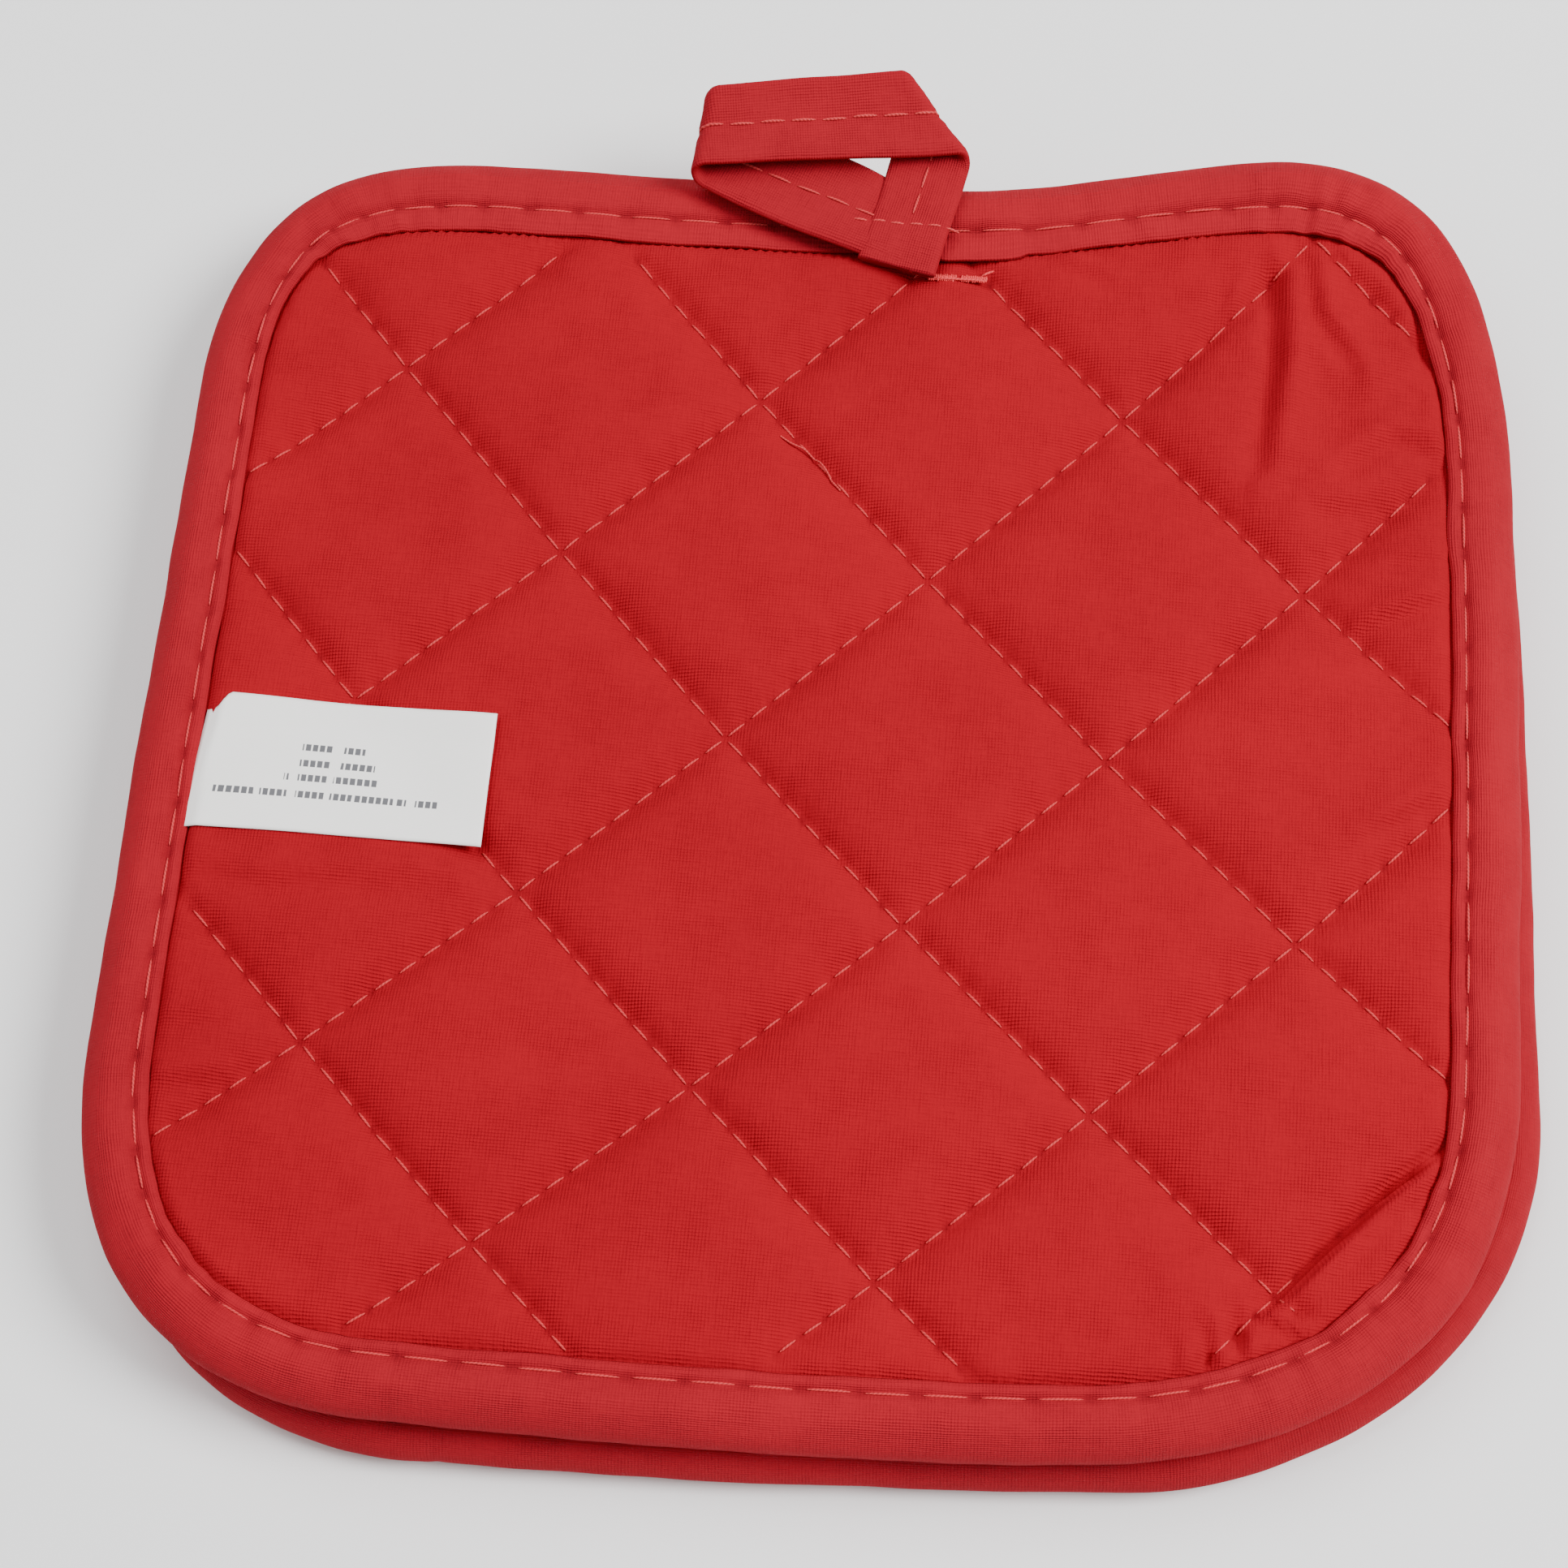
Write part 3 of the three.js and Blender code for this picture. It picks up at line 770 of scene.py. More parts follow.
def make_loop(name, holder, route, thickness, seed):
    """The loop's tape as one closed strip, folded and placed on its holder."""
    stations = 300
    u = np.linspace(route["from"], route["to"], stations)
    spread = np.sin(np.linspace(-math.pi / 2, math.pi / 2, 17)) * TAPE_WIDTH / 2
    rows = [(v, 1) for v in spread] + [(v, -1) for v in spread[::-1][1:-1]]
    around = len(rows)
    flat = []
    bow = 0.35 * grain(u / 14, 0.0, seed + 60)
    belly = np.zeros(stations)
    if route["slack"]:  # the leg that lies below hangs in a curve and spreads a little
        start, end = route["slack"]
        belly = np.sin(math.pi * np.clip((u - start) / (end - start), 0, 1))
    for v, side in rows:
        wave = 1 + 0.03 * grain(u / 9, 0.0 if v < 0 else 8.0, seed)
        wave = wave + (0.3 if v > 0 else 0.2) * belly
        t = tape_surface(route, u, np.full(stations, v), side, thickness, seed)
        flat.append(np.stack([u, v * wave + bow, t], 1))
    flat = np.stack(flat, 1).reshape(-1, 3)
    faces, corners = ring_faces(stations, around)
    keep = [k for k, c in enumerate(corners) if c[0][0] < stations - 1]
    across = np.concatenate([spread, TAPE_WIDTH - spread[::-1][1:-1], [TAPE_WIDTH * 1.5]])
    step = u[1] - u[0]
    uv = [(i * step, across[j]) for k in keep for i, j in corners[k]]
    faces = [faces[k][::-1] for k in keep]
    uv = [uv[4 * n + m] for n in range(len(keep)) for m in (3, 2, 1, 0)]
    caps = [tuple(range(around)), tuple(range((stations - 1) * around, stations * around))[::-1]]
    for cap in caps:
        faces.append(cap)
        uv += [(0.0, across[v % around]) for v in cap]
    return new_mesh(name, lay_down(fold_strip(route, flat), holder), faces, uv)


def loop_stitches(name, holder, route, thickness, seed, spans):
    """Rows of stitches along the middle of the tape, folded with it."""
    bar, bar_faces = stitch_shape()
    points, faces, uv = [], [], []
    for start, stop, side in spans:
        count = round((stop - start) / LOOP_STITCH)
        pitch = (stop - start) / count
        for k in range(count):
            u = start + pitch * (k + 0.46 + bar[:, 0] * 0.83)
            v = 0.15 * noise.noise(Vector((k * 0.9, start, 0))) + bar[:, 1] * 0.19
            arch = 1 - 4 * bar[:, 0] ** 2
            lift = tape_surface(route, u, np.zeros(len(u)), side, thickness, seed)
            t = lift + side * (0.05 + 0.12 * arch) + bar[:, 2] * 0.19
            base = len(points) * len(bar)
            points.append(np.stack([u, v, t], 1))
            for face in bar_faces:
                faces.append(tuple(base + n for n in face))
                uv += [(u[n], bar[n, 1] * 0.2) for n in face]
    folded = fold_strip(route, np.concatenate(points))
    return new_mesh(name, lay_down(folded, holder), faces, uv)


# ---- cloth and thread materials ------------------------------------------------------------


def linear(srgb):
    return tuple((c / 12.92 if c <= 0.04045 else ((c + 0.055) / 1.055) ** 2.4)
                 for c in (v / 255 for v in srgb))


class Finish:
    """A material being made: adds nodes and joins them."""

    def __init__(self, name, roughness, sheen, sheen_tint=(1, 1, 1), specular=0.25):
        self.material = bpy.data.materials.new(name)
        self.material.use_nodes = True
        self.tree = self.material.node_tree
        self.shader = self.tree.nodes["Principled BSDF"]
        self.shader.inputs["Roughness"].default_value = roughness
        self.shader.inputs["Sheen Weight"].default_value = sheen
        self.shader.inputs["Sheen Roughness"].default_value = 0.45
        self.shader.inputs["Sheen Tint"].default_value = (*sheen_tint, 1)
        self.shader.inputs["Specular IOR Level"].default_value = specular

    def node(self, kind, **settings):
        node = self.tree.nodes.new(kind)
        for name, value in settings.items():
            if name in node.inputs:
                node.inputs[name].default_value = value
            else:
                setattr(node, name, value)
        return node

    def join(self, source, target):
        self.tree.links.new(source, target)

    def color(self, source):
        self.join(source, self.shader.inputs["Base Color"])

    def mix(self, factor, first, second):
        """One colour over another, where the factor says."""
        node = self.node("ShaderNodeMix", data_type="RGBA")
        self.join(factor, node.inputs["Factor"])
        self.join(first, node.inputs[6])
        node.inputs[7].default_value = (*second, 1)
        return node.outputs[2]

    def math(self, operation, a, b=None, clamp=False):
        node = self.node("ShaderNodeMath", operation=operation)
        node.use_clamp = clamp
        for k, value in enumerate((a, b)):
            if value is None:
                continue
            if isinstance(value, (int, float)):
                node.inputs[k].default_value = value
            else:
                self.join(value, node.inputs[k])
        return node.outputs[0]

    def total(self, *parts):
        """Adds values together, each times its share."""
        out = None
        for value, share in parts:
            part = self.math("MULTIPLY", value, share)
            out = part if out is None else self.math("ADD", out, part)
        return out

    def near(self, value, middle, reach):
        """One where a value is within reach of the middle, and nothing elsewhere."""
        away = self.math("ABSOLUTE", self.math("SUBTRACT", value, middle))
        return self.math("LESS_THAN", away, reach)

    def place(self, scale=(1, 1, 1), turn=0.0, uv=True):
        if uv:
            source = self.node("ShaderNodeUVMap", uv_map="cloth").outputs["UV"]
        else:
            source = self.node("ShaderNodeTexCoord").outputs["Object"]
        mapping = self.node("ShaderNodeMapping")
        mapping.inputs["Scale"].default_value = scale
        mapping.inputs["Rotation"].default_value = (0, 0, turn)
        self.join(source, mapping.inputs["Vector"])
        return mapping.outputs["Vector"]

    def speckle(self, vector, scale, detail=2.0, roughness=0.5):
        node = self.node("ShaderNodeTexNoise")
        node.inputs["Scale"].default_value = scale
        node.inputs["Detail"].default_value = detail
        node.inputs["Roughness"].default_value = roughness
        self.join(vector, node.inputs["Vector"])
        return node.outputs["Fac"]

    def bands(self, vector, direction, period, distortion):
        node = self.node("ShaderNodeTexWave", wave_type="BANDS", bands_direction=direction)
        node.inputs["Scale"].default_value = 2 * math.pi / 20 / period
        node.inputs["Distortion"].default_value = distortion
        node.inputs["Detail"].default_value = 1.0
        node.inputs["Detail Scale"].default_value = 0.6
        self.join(vector, node.inputs["Vector"])
        return node.outputs["Fac"]

    def ramp(self, factor, stops):
        node = self.node("ShaderNodeValToRGB")
        node.color_ramp.elements[0].position = stops[0][0]
        node.color_ramp.elements[0].color = (*stops[0][1], 1)
        node.color_ramp.elements[1].position = stops[-1][0]
        node.color_ramp.elements[1].color = (*stops[-1][1], 1)
        for position, color in stops[1:-1]:
            node.color_ramp.elements.new(position).color = (*color, 1)
        self.join(factor, node.inputs["Fac"])
        return node.outputs["Color"]

    def bump(self, height, strength, distance):
        node = self.node("ShaderNodeBump")
        node.inputs["Strength"].default_value = strength
        node.inputs["Distance"].default_value = distance
        self.join(height, node.inputs["Height"])
        self.join(node.outputs["Normal"], self.shader.inputs["Normal"])


def shade(color, factor):
    return tuple(min(1.0, c * factor) for c in color)


def woven(name, color, pitch, sheen, rough):
    """Plain weave cotton: threads both ways, slubs, faint fading and a soft nap, with painted shade
    in the weave's valleys, in each needle hole and under the binding's lip.
    """
    finish = Finish(name, rough, sheen, shade(color, 1.6), 0.12)
    place = finish.place()
    warp = finish.bands(place, "X", pitch, 1.2)
    weft = finish.bands(place, "Y", pitch, 1.2)
    over = finish.math("MULTIPLY", warp, weft)
    weave = finish.math("MAXIMUM", finish.math("MULTIPLY", warp, 0.6), weft)
    weave = finish.math("ADD", weave, over)
    # the threads show clearly in some places and lie flat in others
    clear = finish.math("MULTIPLY", finish.math("SUBTRACT", finish.speckle(place, 0.16, 2.0), 0.3),
                        2.2, clamp=True)
    weave = finish.math("MULTIPLY", weave, finish.math("ADD", clear, 0.25))
    slub_u = finish.speckle(finish.place((0.35, 3.0, 1)), 1.0, 2.0)
    slub_v = finish.speckle(finish.place((3.0, 0.35, 1)), 1.0, 2.0)
    slubs = finish.math("ADD", slub_u, slub_v)
    patch = finish.speckle(finish.place((1, 1, 1), uv=False), 38.0, 3.0, 0.55)
    fuzz = finish.speckle(place, 2.2, 3.0, 0.7)
    # The weave's share of the tone is painted shade, darker in its valleys; slubs, patches and fuzz
    # are the cloth's own tone.
    tone = finish.total((weave, 0.10), (slubs, 0.20), (patch, 0.38), (fuzz, 0.16))
    color_out = finish.ramp(tone, [(0.30, shade(color, 0.82)), (0.50, color),
                                   (0.72, shade(color, 1.16))])
    # Painted shade: the needle attribute darkens the cloth in each needle hole and under the
    # binding's lip.
    needle = finish.node("ShaderNodeAttribute", attribute_name="needle").outputs["Fac"]
    finish.color(finish.mix(finish.math("MULTIPLY", needle, 0.5), color_out, shade(color, 0.3)))
    finish.bump(finish.total((weave, 0.5), (slubs, 0.55), (fuzz, 0.35)), 0.75, 0.0002)
    return finish.material


def twisted_thread(name, color):
    """Glossy sewing thread, its plies twisted round each other."""
    finish = Finish(name, 0.5, 0.15, shade(color, 1.4))
    ply = finish.bands(finish.place((1, 1, 1), math.radians(38)), "X", 0.42, 0.3)
    tone = finish.speckle(finish.place(), 1.6, 2.0)
    # The plies' bands also set the colour: painted shade between the plies and painted highlight on
    # them; the speckle is the thread's own tone.
    finish.color(finish.ramp(finish.total((ply, 0.5), (tone, 0.5)),
                             [(0.2, shade(color, 0.7)), (0.5, color), (0.8, shade(color, 1.2))]))
    finish.bump(ply, 0.6, 0.00008)
    return finish.material


def fibre_fill(name, color):
    """Needled batting: matted fibres with no direction."""
    finish = Finish(name, 0.95, 0.3)
    mat = finish.speckle(finish.place(uv=False), 420.0, 4.0, 0.7)
    finish.color(finish.ramp(mat, [(0.3, shade(color, 0.86)), (0.7, color)]))
    finish.bump(mat, 0.8, 0.0006)
    return finish.material


# rows of dashes on the label: height on it, middle along it, half the row's length, millimetres
DASH_ROWS = ((12.1, 17.6, 4.1), (9.8, 17.8, 5.5), (7.7, 17.8, 6.1), (5.3, 17.6, 14.4))
DASH_HALF_HEIGHT = 0.48


def printed_satin(name, color, ink):
    """White satin ribbon with four rows of plain grey dashes in the place of small print."""
    finish = Finish(name, 0.42, 0.1)
    place = finish.place()
    yarn = finish.bands(place, "Y", 0.16, 0.6)
    split = finish.node("ShaderNodeSeparateXYZ")
    finish.join(place, split.inputs[0])
    u, v = split.outputs["X"], split.outputs["Y"]
    rows = None
    for height, middle, half in DASH_ROWS:
        row = finish.math("MULTIPLY", finish.near(v, height, DASH_HALF_HEIGHT),
                          finish.near(u, middle, half))
        rows = row if rows is None else finish.math("MAXIMUM", rows, row)
    words = finish.speckle(finish.place((0.5, 0.02, 1)), 1.3, 0.0)
    words = finish.math("LESS_THAN", words, 0.60)
    dashes = finish.math("GREATER_THAN", finish.bands(place, "X", 0.92, 0.9), 0.16)
    mark = finish.math("MULTIPLY", finish.math("MULTIPLY", rows, words), dashes)
    # Darker between the yarns: painted shade.
    satin = finish.ramp(yarn, [(0.2, shade(color, 0.97)), (0.8, color)])
    finish.color(finish.mix(mark, satin, ink))
    finish.bump(yarn, 0.25, 0.00004)
    return finish.material


def material(name):
    """Makes a finish the first time it is asked for, from the colours in the panel."""
    found = bpy.data.materials.get(name)
    if found:
        return found
    s = sizes()
    makers = {
        "quilted cotton": lambda: woven(name, tuple(s.field_color), 0.42, 0.12, 0.9),
        "binding tape": lambda: woven(name, tuple(s.tape_color), 0.40, 0.14, 0.88),
        "loop tape": lambda: woven(name, shade(tuple(s.tape_color), 0.97), 0.36, 0.14, 0.88),
        "coral thread": lambda: twisted_thread(name, tuple(s.thread_color)),
        "pink thread": lambda: twisted_thread(name, shade(tuple(s.thread_color), 1.25)),
        "batting fibre": lambda: fibre_fill(name, linear((232, 228, 220))),
        "label satin": lambda: printed_satin(name, linear((250, 248, 245)), linear((96, 96, 100))),
    }
    return makers[name]()


# ---- settings and operators ----------------------------------------------------------------


class HolderSizes(bpy.types.PropertyGroup):
    puff: bpy.props.FloatProperty(
        name="Puff", description="How far the quilting stands up between its seams",
        default=0.0013, min=0.0, max=0.003, unit="LENGTH", precision=4)
    cotton_thickness: bpy.props.FloatProperty(
        name="Cotton", description="Thickness of one cotton panel",
        default=0.0003, min=0.0001, max=0.001, unit="LENGTH", precision=4)
    tape_thickness: bpy.props.FloatProperty(
        name="Loop tape", description="Thickness of the folded loop tape",
        default=0.0012, min=0.0006, max=0.002, unit="LENGTH", precision=4)
    binding_stitch: bpy.props.FloatProperty(
        name="Binding stitch", description="Length of one stitch in the row round the binding",
        default=0.0069, min=0.003, max=0.012, unit="LENGTH", precision=4)
    thread: bpy.props.FloatProperty(
        name="Thread", description="Half the width of the sewing thread",
        default=0.00018, min=0.0001, max=0.0005, unit="LENGTH", precision=4)
    field_color: bpy.props.FloatVectorProperty(
        name="Quilting colour", description="Colour of the two cotton panels",
        subtype="COLOR", size=3, default=linear((149, 9, 25)), min=0, max=1)
    tape_color: bpy.props.FloatVectorProperty(
        name="Tape colour", description="Colour of the binding and the loop",
        subtype="COLOR", size=3, default=linear((151, 20, 33)), min=0, max=1)
    thread_color: bpy.props.FloatVectorProperty(
        name="Thread colour", description="Colour of the stitching",
        subtype="COLOR", size=3, default=linear((192, 50, 54)), min=0, max=1)


HOLDERS = ("lower", "upper")
SEATS = {}  # surfaces that later pieces are seated on, by piece name


class HOLDER_OT_panels(bpy.types.Operator):
    """Make the quilted cotton panels and the batting of both holders"""
    bl_idname = "holder.panels"
    bl_label = "Quilted panels"

    def execute(self, context):
        coarse = quilted_surface()
        fine = subdivided(*coarse)
        for holder in HOLDERS:
            for side in ("back", "face"):
                shown = (holder, side) == ("upper", "back")
                points, quads, p, q = fine if shown else coarse
                dressed, hole_shade = dress_panel(points, p, q, NAMED_FOLDS if shown else [])
                if not shown:
                    dressed[:, 2] = PAD_THICKNESS - pressed(PAD_THICKNESS - dressed[:, 2])
                face_side = side == "face"
                name = f"{holder}_quilted_{side}"
                seat = mirrored(dressed) if face_side else dressed
                SEATS[name] = seat_tree(seat, quads.tolist())
                panel = make_panel(name, holder, dressed, quads, face_side,
                                   sizes().cotton_thickness, hole_shade)
                finish_piece(panel, material("quilted cotton"),
                             [f"{holder}_{side}_panel"], f"{holder}_pad")
            self.batting(holder)
        return {"FINISHED"}

    def batting(self, holder):
        """The padding between the panels, pinched along every quilting line."""
        steps = 6
        gp, gq, faces = quilt_grid(steps, 3.4)
        xy = grid_place(gp / steps, gq / steps)
        pillow = np.abs(np.sin(math.pi * gp / steps) * np.sin(math.pi * gq / steps)) ** 0.8
        half = 0.15 + 1.3 * pillow + 0.1 * grain(xy[:, 0] / 9, xy[:, 1] / 9) * pillow
        top = np.column_stack([xy, MID_HEIGHT + half])
        bottom = np.column_stack([xy, MID_HEIGHT - half])
        count = len(top)
        edges = {(a, b): True for face in faces for a, b in zip(face, np.roll(face, -1))}
        rim = [(b, a, a + count, b + count) for a, b in edges if (b, a) not in edges]
        all_faces = [tuple(f) for f in faces] + [tuple(f[::-1] + count) for f in faces] + rim
        points = lay_down(np.concatenate([top, bottom]), holder)
        batting = new_mesh(f"{holder}_batting_sheet", points, all_faces)
        finish_piece(batting, material("batting fibre"),
                     [f"{holder}_batting"], f"{holder}_pad")


class HOLDER_OT_binding(bpy.types.Operator):
    """Make the folded tape round the edge of both holders"""
    bl_idname = "holder.binding"
    bl_label = "Binding"

    def execute(self, context):
        for holder, seed in zip(HOLDERS, (3.0, 11.0)):
            binding, tree = make_binding(f"{holder}_binding", holder, seed)
            SEATS[binding.name] = tree
            finish_piece(binding, material("binding tape"),
                         [f"{holder}_binding_tape"], f"{holder}_pad")
        return {"FINISHED"}


class HOLDER_OT_stitching(bpy.types.Operator):
    """Sew the quilting lines and the row round the binding"""
    bl_idname = "holder.stitching"
    bl_label = "Stitching"

    def execute(self, context):
        shape = stitch_shape()
        radius = sizes().thread / MM
        for holder in HOLDERS:
            for side, above in (("back", True), ("face", False)):
                sag = 0.14 if above else -0.14
                rows = {
                    f"{holder}_quilting_stitches_{side}":
                        (quilting_ends(SEATS[f"{holder}_quilted_{side}"], above),
                         f"{holder}_quilting_thread_{side}"),
                    f"{holder}_binding_stitches_{side}":
                        (topstitch_ends(SEATS[f"{holder}_binding"], above),
                         f"{holder}_binding_stitch_{side}"),
                }
                for name, (ends, node) in rows.items():
                    thread = sew(name, holder, ends, radius, sag, shape)
                    finish_piece(thread, material("coral thread"), [node],
                                 f"{holder}_pad")
        return {"FINISHED"}


class HOLDER_OT_loops(bpy.types.Operator):
    """Make the hanging loops and sew them down"""
    bl_idname = "holder.loops"
    bl_label = "Hanging loops"

    def execute(self, context):
        thick = sizes().tape_thickness / MM
        shape = stitch_shape()
        plans = {  # holder: route, thickness, rows of stitches along it, row across its ends
            "lower": (LOOP_IN, 0.95, [(-6, 14, 1), (34, 54, 1), (21.5, 27.5, -1)], (-6.0, 16.0)),
            "upper": (LOOP_OUT, thick, [(2.5, 15.5, 1), (17.0, 51.2, -1), (54, 80, -1),
                                        (53.4, 80, 1), (20, 49, 1), (-1, 13.5, -1)], (-2.4, 13.0)),
        }
        for holder, (route, thickness, spans, row) in plans.items():
            loop = make_loop(f"{holder}_loop", holder, route, thickness, 21.0)
            finish_piece(loop, material("loop tape"),
                         [f"{holder}_hanging_loop", f"{holder}_loop_ends"])
            stitches = loop_stitches(f"{holder}_loop_stitches", holder, route, thickness, 21.0,
                                     spans)
            finish_piece(stitches, material("coral thread"),
                         [f"{holder}_loop_stitch"])
            for piece in (loop, stitches):
                if holder == "upper":
                    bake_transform(piece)
                else:
                    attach(piece, "lower_pad")
            tree = seat_tree(self.back_to_holder(loop, holder), faces_of(loop))
            self.anchor(holder, tree, row, shape)
        return {"FINISHED"}

    def back_to_holder(self, loop, holder):
        """The loop's places in holder millimetres, near enough for seating stitches."""
        p = places_of(loop) / MM
        if holder == "upper":
            p[:, 1] += p[:, 2] * math.sin(UPPER_TILT)
            p[:, 2] -= UPPER_LIFT + p[:, 1] * math.sin(UPPER_TILT)
        else:
            x, y = p[:, 0] - LOWER_SHIFT[0], p[:, 1] - LOWER_SHIFT[1]
            c, s = math.cos(-LOWER_TURN), math.sin(-LOWER_TURN)
            p[:, 0], p[:, 1] = x * c - y * s, x * s + y * c
        return p

    def anchor(self, holder, tree, row, shape):
        """The short row that sews the loop's ends down, across both of them."""
        left, right = row
        ends = []
        count = round((right - left) / ANCHOR_STITCH)
        for k in range(count):
            pair = []
            for share in (k + 0.1, k + 0.86):
                x = left + (right - left) * share / count
                y = ANCHOR_Y - 0.05 * (x - left) + 0.1 * math.sin(k * 2.3)
                pair.append((x, y, height_on(tree, x, y, otherwise=8.4) + 0.06))
            ends.append(pair)
        thread = sew(f"{holder}_anchor_stitches", holder, ends, 0.2, 0.12, shape)
        finish_piece(thread, material("coral thread"),
                     [f"{holder}_loop_anchor_stitch"], f"{holder}_pad")


class HOLDER_OT_bartacks(bpy.types.Operator):
    """Sew the dense bar of stitches beside each loop"""
    bl_idname = "holder.bartacks"
    bl_label = "Bartacks"

    def execute(self, context):
        shape = stitch_shape()
        for holder, middle in BARTACK_X.items():
            tree = SEATS[f"{holder}_quilted_back"]
            ends, low = [], BARTACK_Y - 0.25
            z = 0.1 + max(height_on(tree, middle + d, BARTACK_Y) for d in range(-4, 5))
            for k in range(27):
                if k in (13, 14):
                    continue  # the bar is sewn in two blocks
                x = middle + (k - 13) * BARTACK_PITCH
                reach = 0.58 + 0.06 * math.sin(k * 1.9)
                y = BARTACK_Y + 0.05 * math.sin(k * 2.7)
                ends.append([(x, y - reach, z), (x + 0.05, y + reach, z)])
            ends.append([(middle - 4.2, low, z + 0.1), (middle + 3.9, low, z + 0.1)])
            ends.append([(middle + 3.3, low + 0.65, z + 0.25), (middle + 5.0, low + 1.65, z + 0.1)])
            bar = sew(f"{holder}_bartack", holder, ends, 0.19, 0.1, shape)
            finish_piece(bar, material("pink thread"),
                         [f"{holder}_field_bartack"], f"{holder}_pad")
        return {"FINISHED"}


class HOLDER_OT_labels(bpy.types.Operator):
    """Make the care label at the left edge of both holders"""
    bl_idname = "holder.labels"
    bl_label = "Care labels"

    def execute(self, context):
        for holder in HOLDERS:
            nu, nv = 72, 36
            length, width = LABEL_SIZE
            u, v = (g.ravel() for g in np.meshgrid(np.linspace(0, length, nu + 1),
                                                   np.linspace(0, width, nv + 1), indexing="ij"))
            # one far corner is clipped, and the free end is cut a little short
            clip = 2.4 * np.clip((2.9 - u) / 1.6, 0, 1)
            x = LABEL_CORNER[0] + u - (1 - v / width) * smooth(8, 0, u)
            y = LABEL_CORNER[1] + v * (width - clip - 0.9 * u / length) / width
            y -= 0.45 * u / length
            z = self.resting_height(SEATS[f"{holder}_quilted_back"], x, y, (nu + 1, nv + 1))
            z += 0.2 + 0.1 * grain(u / 9, v / 7, 4.0)
            if holder == "upper":
                z += 0.5 * smooth(27, 38, u) + 0.3 * smooth(14, 19, v) * smooth(8, 20, u)
            z = np.minimum(z, 6.35 + 0.5 * u)
            k = np.arange(nu)[:, None] * (nv + 1) + np.arange(nv)[None]
            faces = np.stack([k, k + nv + 1, k + nv + 2, k + 1], -1).reshape(-1, 4)
            uv = np.stack([u, v], 1)[faces.ravel()]
            label = new_mesh(f"{holder}_label", lay_down(np.stack([x, y, z], 1), holder),
                             faces.tolist(), uv)
            apply_modifier(label, "SOLIDIFY", thickness=LABEL_THICKNESS * MM, offset=0)
            finish_piece(label, material("label satin"),
                         [f"{holder}_care_label"])
            if holder == "upper":
                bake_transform(label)
            else:
                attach(label, "lower_pad")
        return {"FINISHED"}

    def resting_height(self, tree, x, y, shape):
        """The quilting's height under a stiff label, which bridges its hollows."""
        z = np.array([height_on(tree, *place) for place in zip(x, y)]).reshape(shape)
        for reach, worst in ((1, True), (1, True), (2, True), (2, True), (3, False), (3, False),
                             (4, False)):
            padded = np.pad(z, reach, mode="edge")
            near = [padded[a:a + shape[0], b:b + shape[1]]
                    for a in (0, reach, 2 * reach) for b in (0, reach, 2 * reach)]
            z = np.maximum.reduce(near) if worst else np.mean(near, 0)
        return np.maximum(z.ravel(), 6.0)


# the loose thread's route: place on the holder and height above the cloth
THREAD_END = [(-9.5, 46.3, 0.0), (-7.9, 45.2, 0.25), (-6.2, 44.6, 0.5), (-5.0, 43.5, 0.45),
              (-3.9, 42.8, 0.5), (-2.7, 41.2, 0.45), (-2.1, 40.0, 0.2), (-0.8, 38.6, 0.0)]


class HOLDER_OT_thread_end(bpy.types.Operator):
    """Lay the loose end of thread that stands off one quilting line"""
    bl_idname = "holder.thread_end"
    bl_label = "Loose thread"

    def execute(self, context):
        tree = SEATS["upper_quilted_back"]
        path = np.array(THREAD_END)
        fine = np.linspace(0, len(path) - 1, 57)
        x, y, up = (np.interp(fine, range(len(path)), path[:, k]) for k in (0, 1, 2))
        xy = np.stack([x, y], 1)
        for _ in range(12):
            xy[1:-1] = (xy[:-2] + xy[1:-1] * 2 + xy[2:]) / 4
        z = np.array([height_on(tree, x, y) for x, y in xy]) + 0.16 + up
        curve = bpy.data.curves.new("upper_loose_thread", "CURVE")
        curve.dimensions = "3D"
        line = curve.splines.new("POLY")
        line.points.add(len(xy) - 1)
        placed = lay_down(np.column_stack([xy, z]), "upper")
        for point, place in zip(line.points, placed):
            point.co = (*place, 1)
        curve.bevel_depth = sizes().thread * 0.75
        curve.bevel_resolution = 2
        curve.use_fill_caps = True
        end = bpy.data.objects.new("upper_loose_thread", curve)
        context.scene.collection.objects.link(end)
        pick(end)
        bpy.ops.object.convert(target="MESH")
        end = context.active_object
        end.name = "upper_loose_thread"
        uv = end.data.uv_layers.new(name="cloth")
        co = places_of(end)
        corners = np.array([loop.vertex_index for loop in end.data.loops])
        uv.data.foreach_set("uv", (co[corners][:, :2] / MM).astype(np.float32).ravel())
        finish_piece(end, material("coral thread"), [], "upper_pad")
        return {"FINISHED"}


# name, place and size in metres, and power in watts
LAMPS = (("key", (0.8, 0.0, 0.85), 0.6, 21.0), ("top", (-0.3, 0.4, 1.1), 1.0, 9.0),
         ("side", (-0.9, -0.1, 0.8), 1.0, 4.0))
CAMERA_PLACE = (0.02226, -0.15501, 0.35524)
CAMERA_TURN = (24.0288, 2.2860, 5.0179)
CAMERA_LENS = 67.08


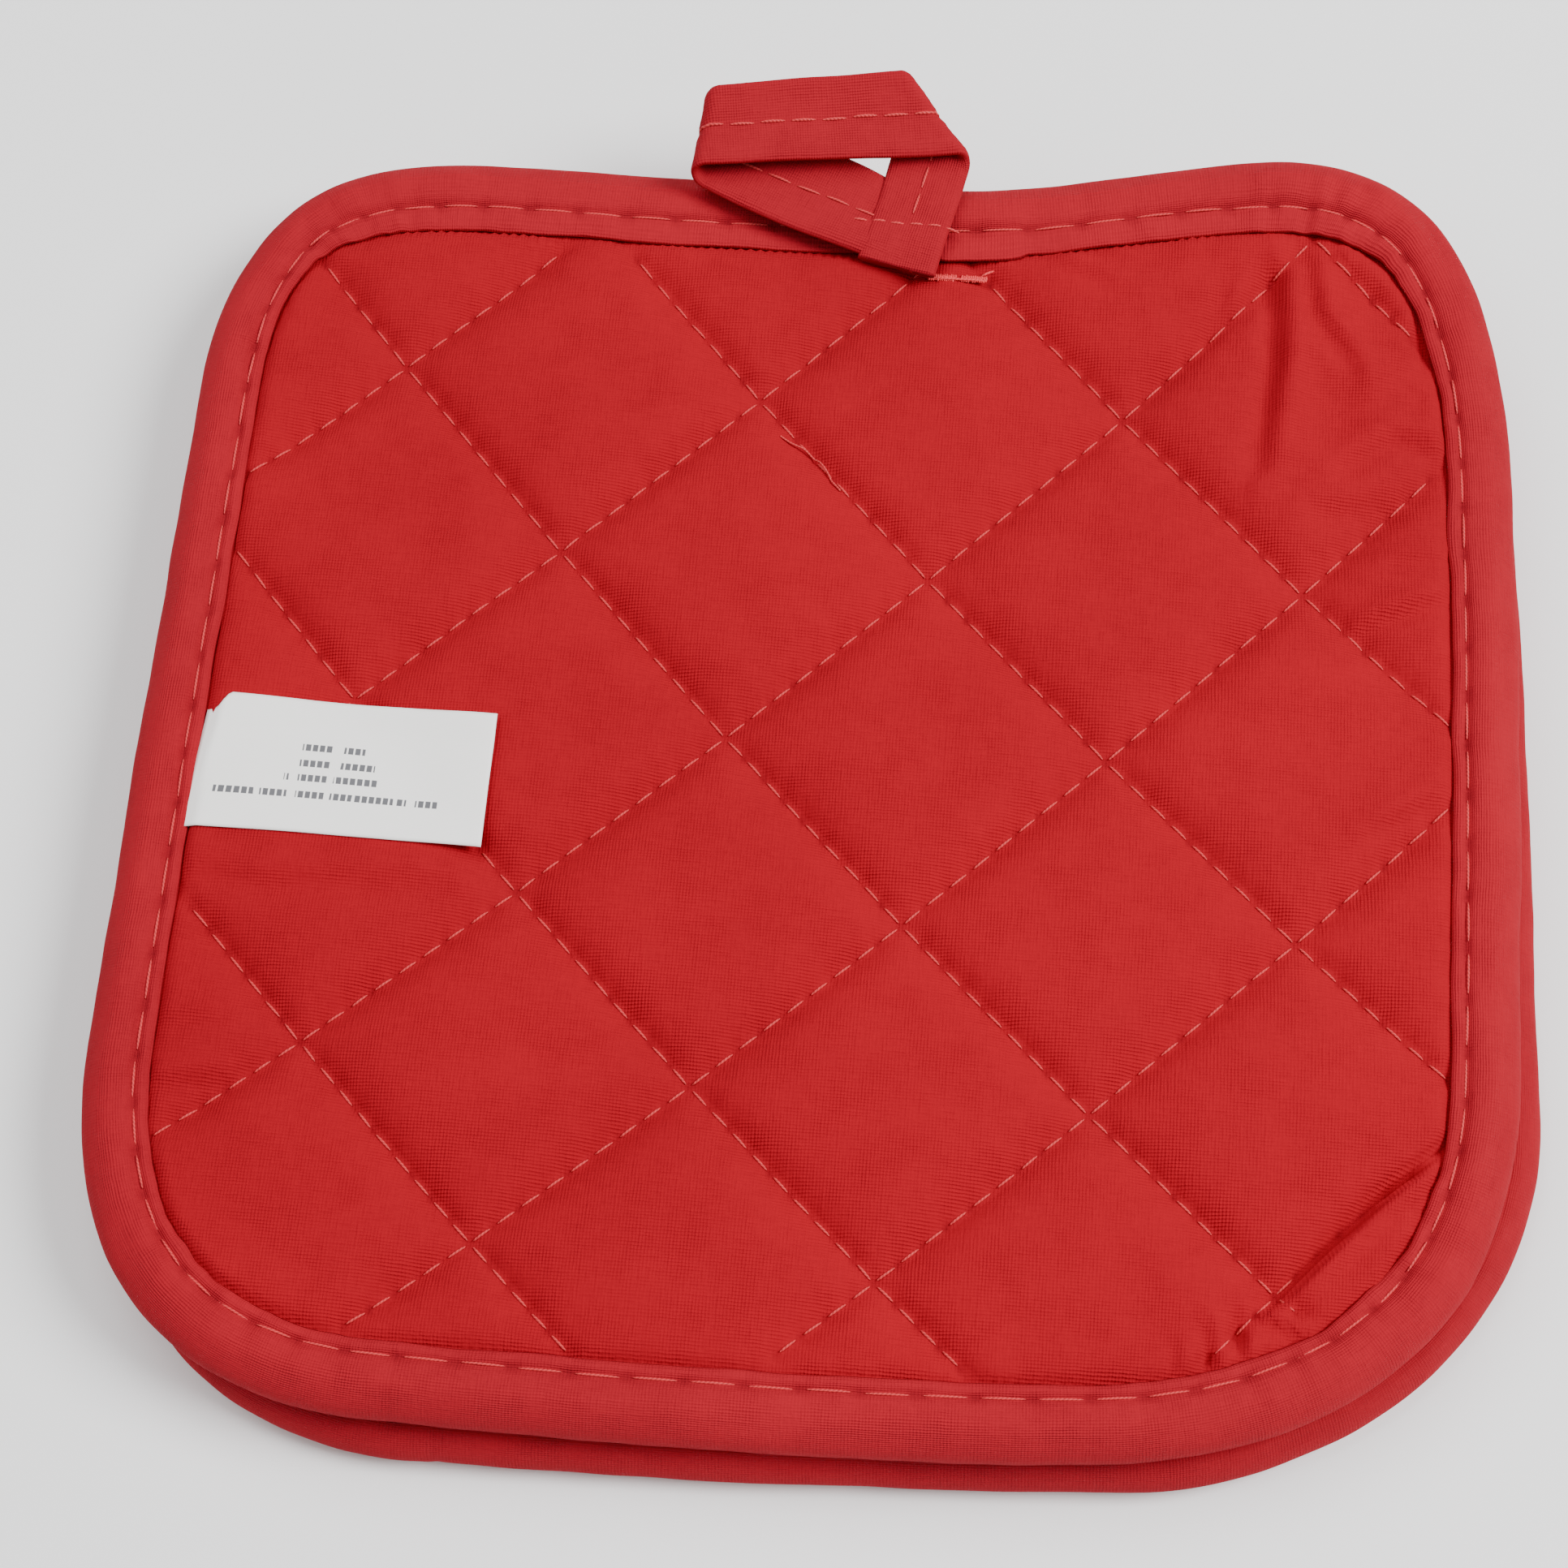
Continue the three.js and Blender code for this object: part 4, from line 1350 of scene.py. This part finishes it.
class HOLDER_OT_stage(bpy.types.Operator):
    """Set out the pale floor, the soft lamps and the camera"""
    bl_idname = "holder.stage"
    bl_label = "Floor, lamps and camera"

    def execute(self, context):
        deselect_all()
        bpy.ops.mesh.primitive_plane_add(size=30.0, location=(0, 0, 0))
        floor = context.active_object
        floor.name = "floor"
        paper = Finish("paper", 0.9, 0.0)
        mottle = paper.speckle(paper.place(uv=False), 3.0, 2.0)
        paper.color(paper.ramp(mottle, [(0.3, (0.90, 0.90, 0.90)), (0.7, (0.93, 0.93, 0.93))]))
        floor.data.materials.append(paper.material)

        camera = bpy.data.cameras.new("camera")
        camera.lens, camera.sensor_width = CAMERA_LENS, 36.0
        camera.clip_start, camera.clip_end = 0.01, 20
        view = bpy.data.objects.new("camera", camera)
        view.location = CAMERA_PLACE
        view.rotation_euler = [math.radians(a) for a in CAMERA_TURN]
        context.scene.collection.objects.link(view)
        context.scene.camera = view

        for name, place, size, power in LAMPS:
            lamp = bpy.data.lights.new(name, "AREA")
            lamp.shape, lamp.size, lamp.energy = "DISK", size, power
            stand = bpy.data.objects.new(name, lamp)
            stand.location = place
            stand.rotation_euler = Vector(place).to_track_quat("Z", "Y").to_euler()
            context.scene.collection.objects.link(stand)
        world = bpy.data.worlds.new("studio")
        world.use_nodes = True
        world.node_tree.nodes["Background"].inputs["Color"].default_value = (1, 1, 1, 1)
        world.node_tree.nodes["Background"].inputs["Strength"].default_value = 0.40
        context.scene.world = world
        return {"FINISHED"}


OPERATORS = (HOLDER_OT_stage, HOLDER_OT_panels, HOLDER_OT_binding, HOLDER_OT_stitching,
             HOLDER_OT_loops, HOLDER_OT_bartacks, HOLDER_OT_labels, HOLDER_OT_thread_end)


class HOLDER_PT_panel(bpy.types.Panel):
    """Sizes, colours and pieces of the pot holders"""
    bl_idname = "HOLDER_PT_panel"
    bl_label = "Pot holders"
    bl_space_type = "VIEW_3D"
    bl_region_type = "UI"
    bl_category = "Pot holders"

    def draw(self, context):
        column = self.layout.column()
        for name in HolderSizes.__annotations__:
            column.prop(context.scene.holder_sizes, name)
        for operator in OPERATORS:
            column.operator(operator.bl_idname)


CLASSES = (HolderSizes, *OPERATORS, HOLDER_PT_panel)


def register():
    for item in CLASSES:
        bpy.utils.register_class(item)
    bpy.types.Scene.holder_sizes = bpy.props.PointerProperty(type=HolderSizes)


def unregister():
    del bpy.types.Scene.holder_sizes
    for item in reversed(CLASSES):
        bpy.utils.unregister_class(item)


def main():
    register()
    bpy.ops.holder.stage()
    bpy.ops.holder.panels()
    bpy.ops.holder.binding()
    bpy.ops.holder.stitching()
    bpy.ops.holder.loops()
    bpy.ops.holder.bartacks()
    bpy.ops.holder.labels()
    bpy.ops.holder.thread_end()


if __name__ == "__main__":
    main()
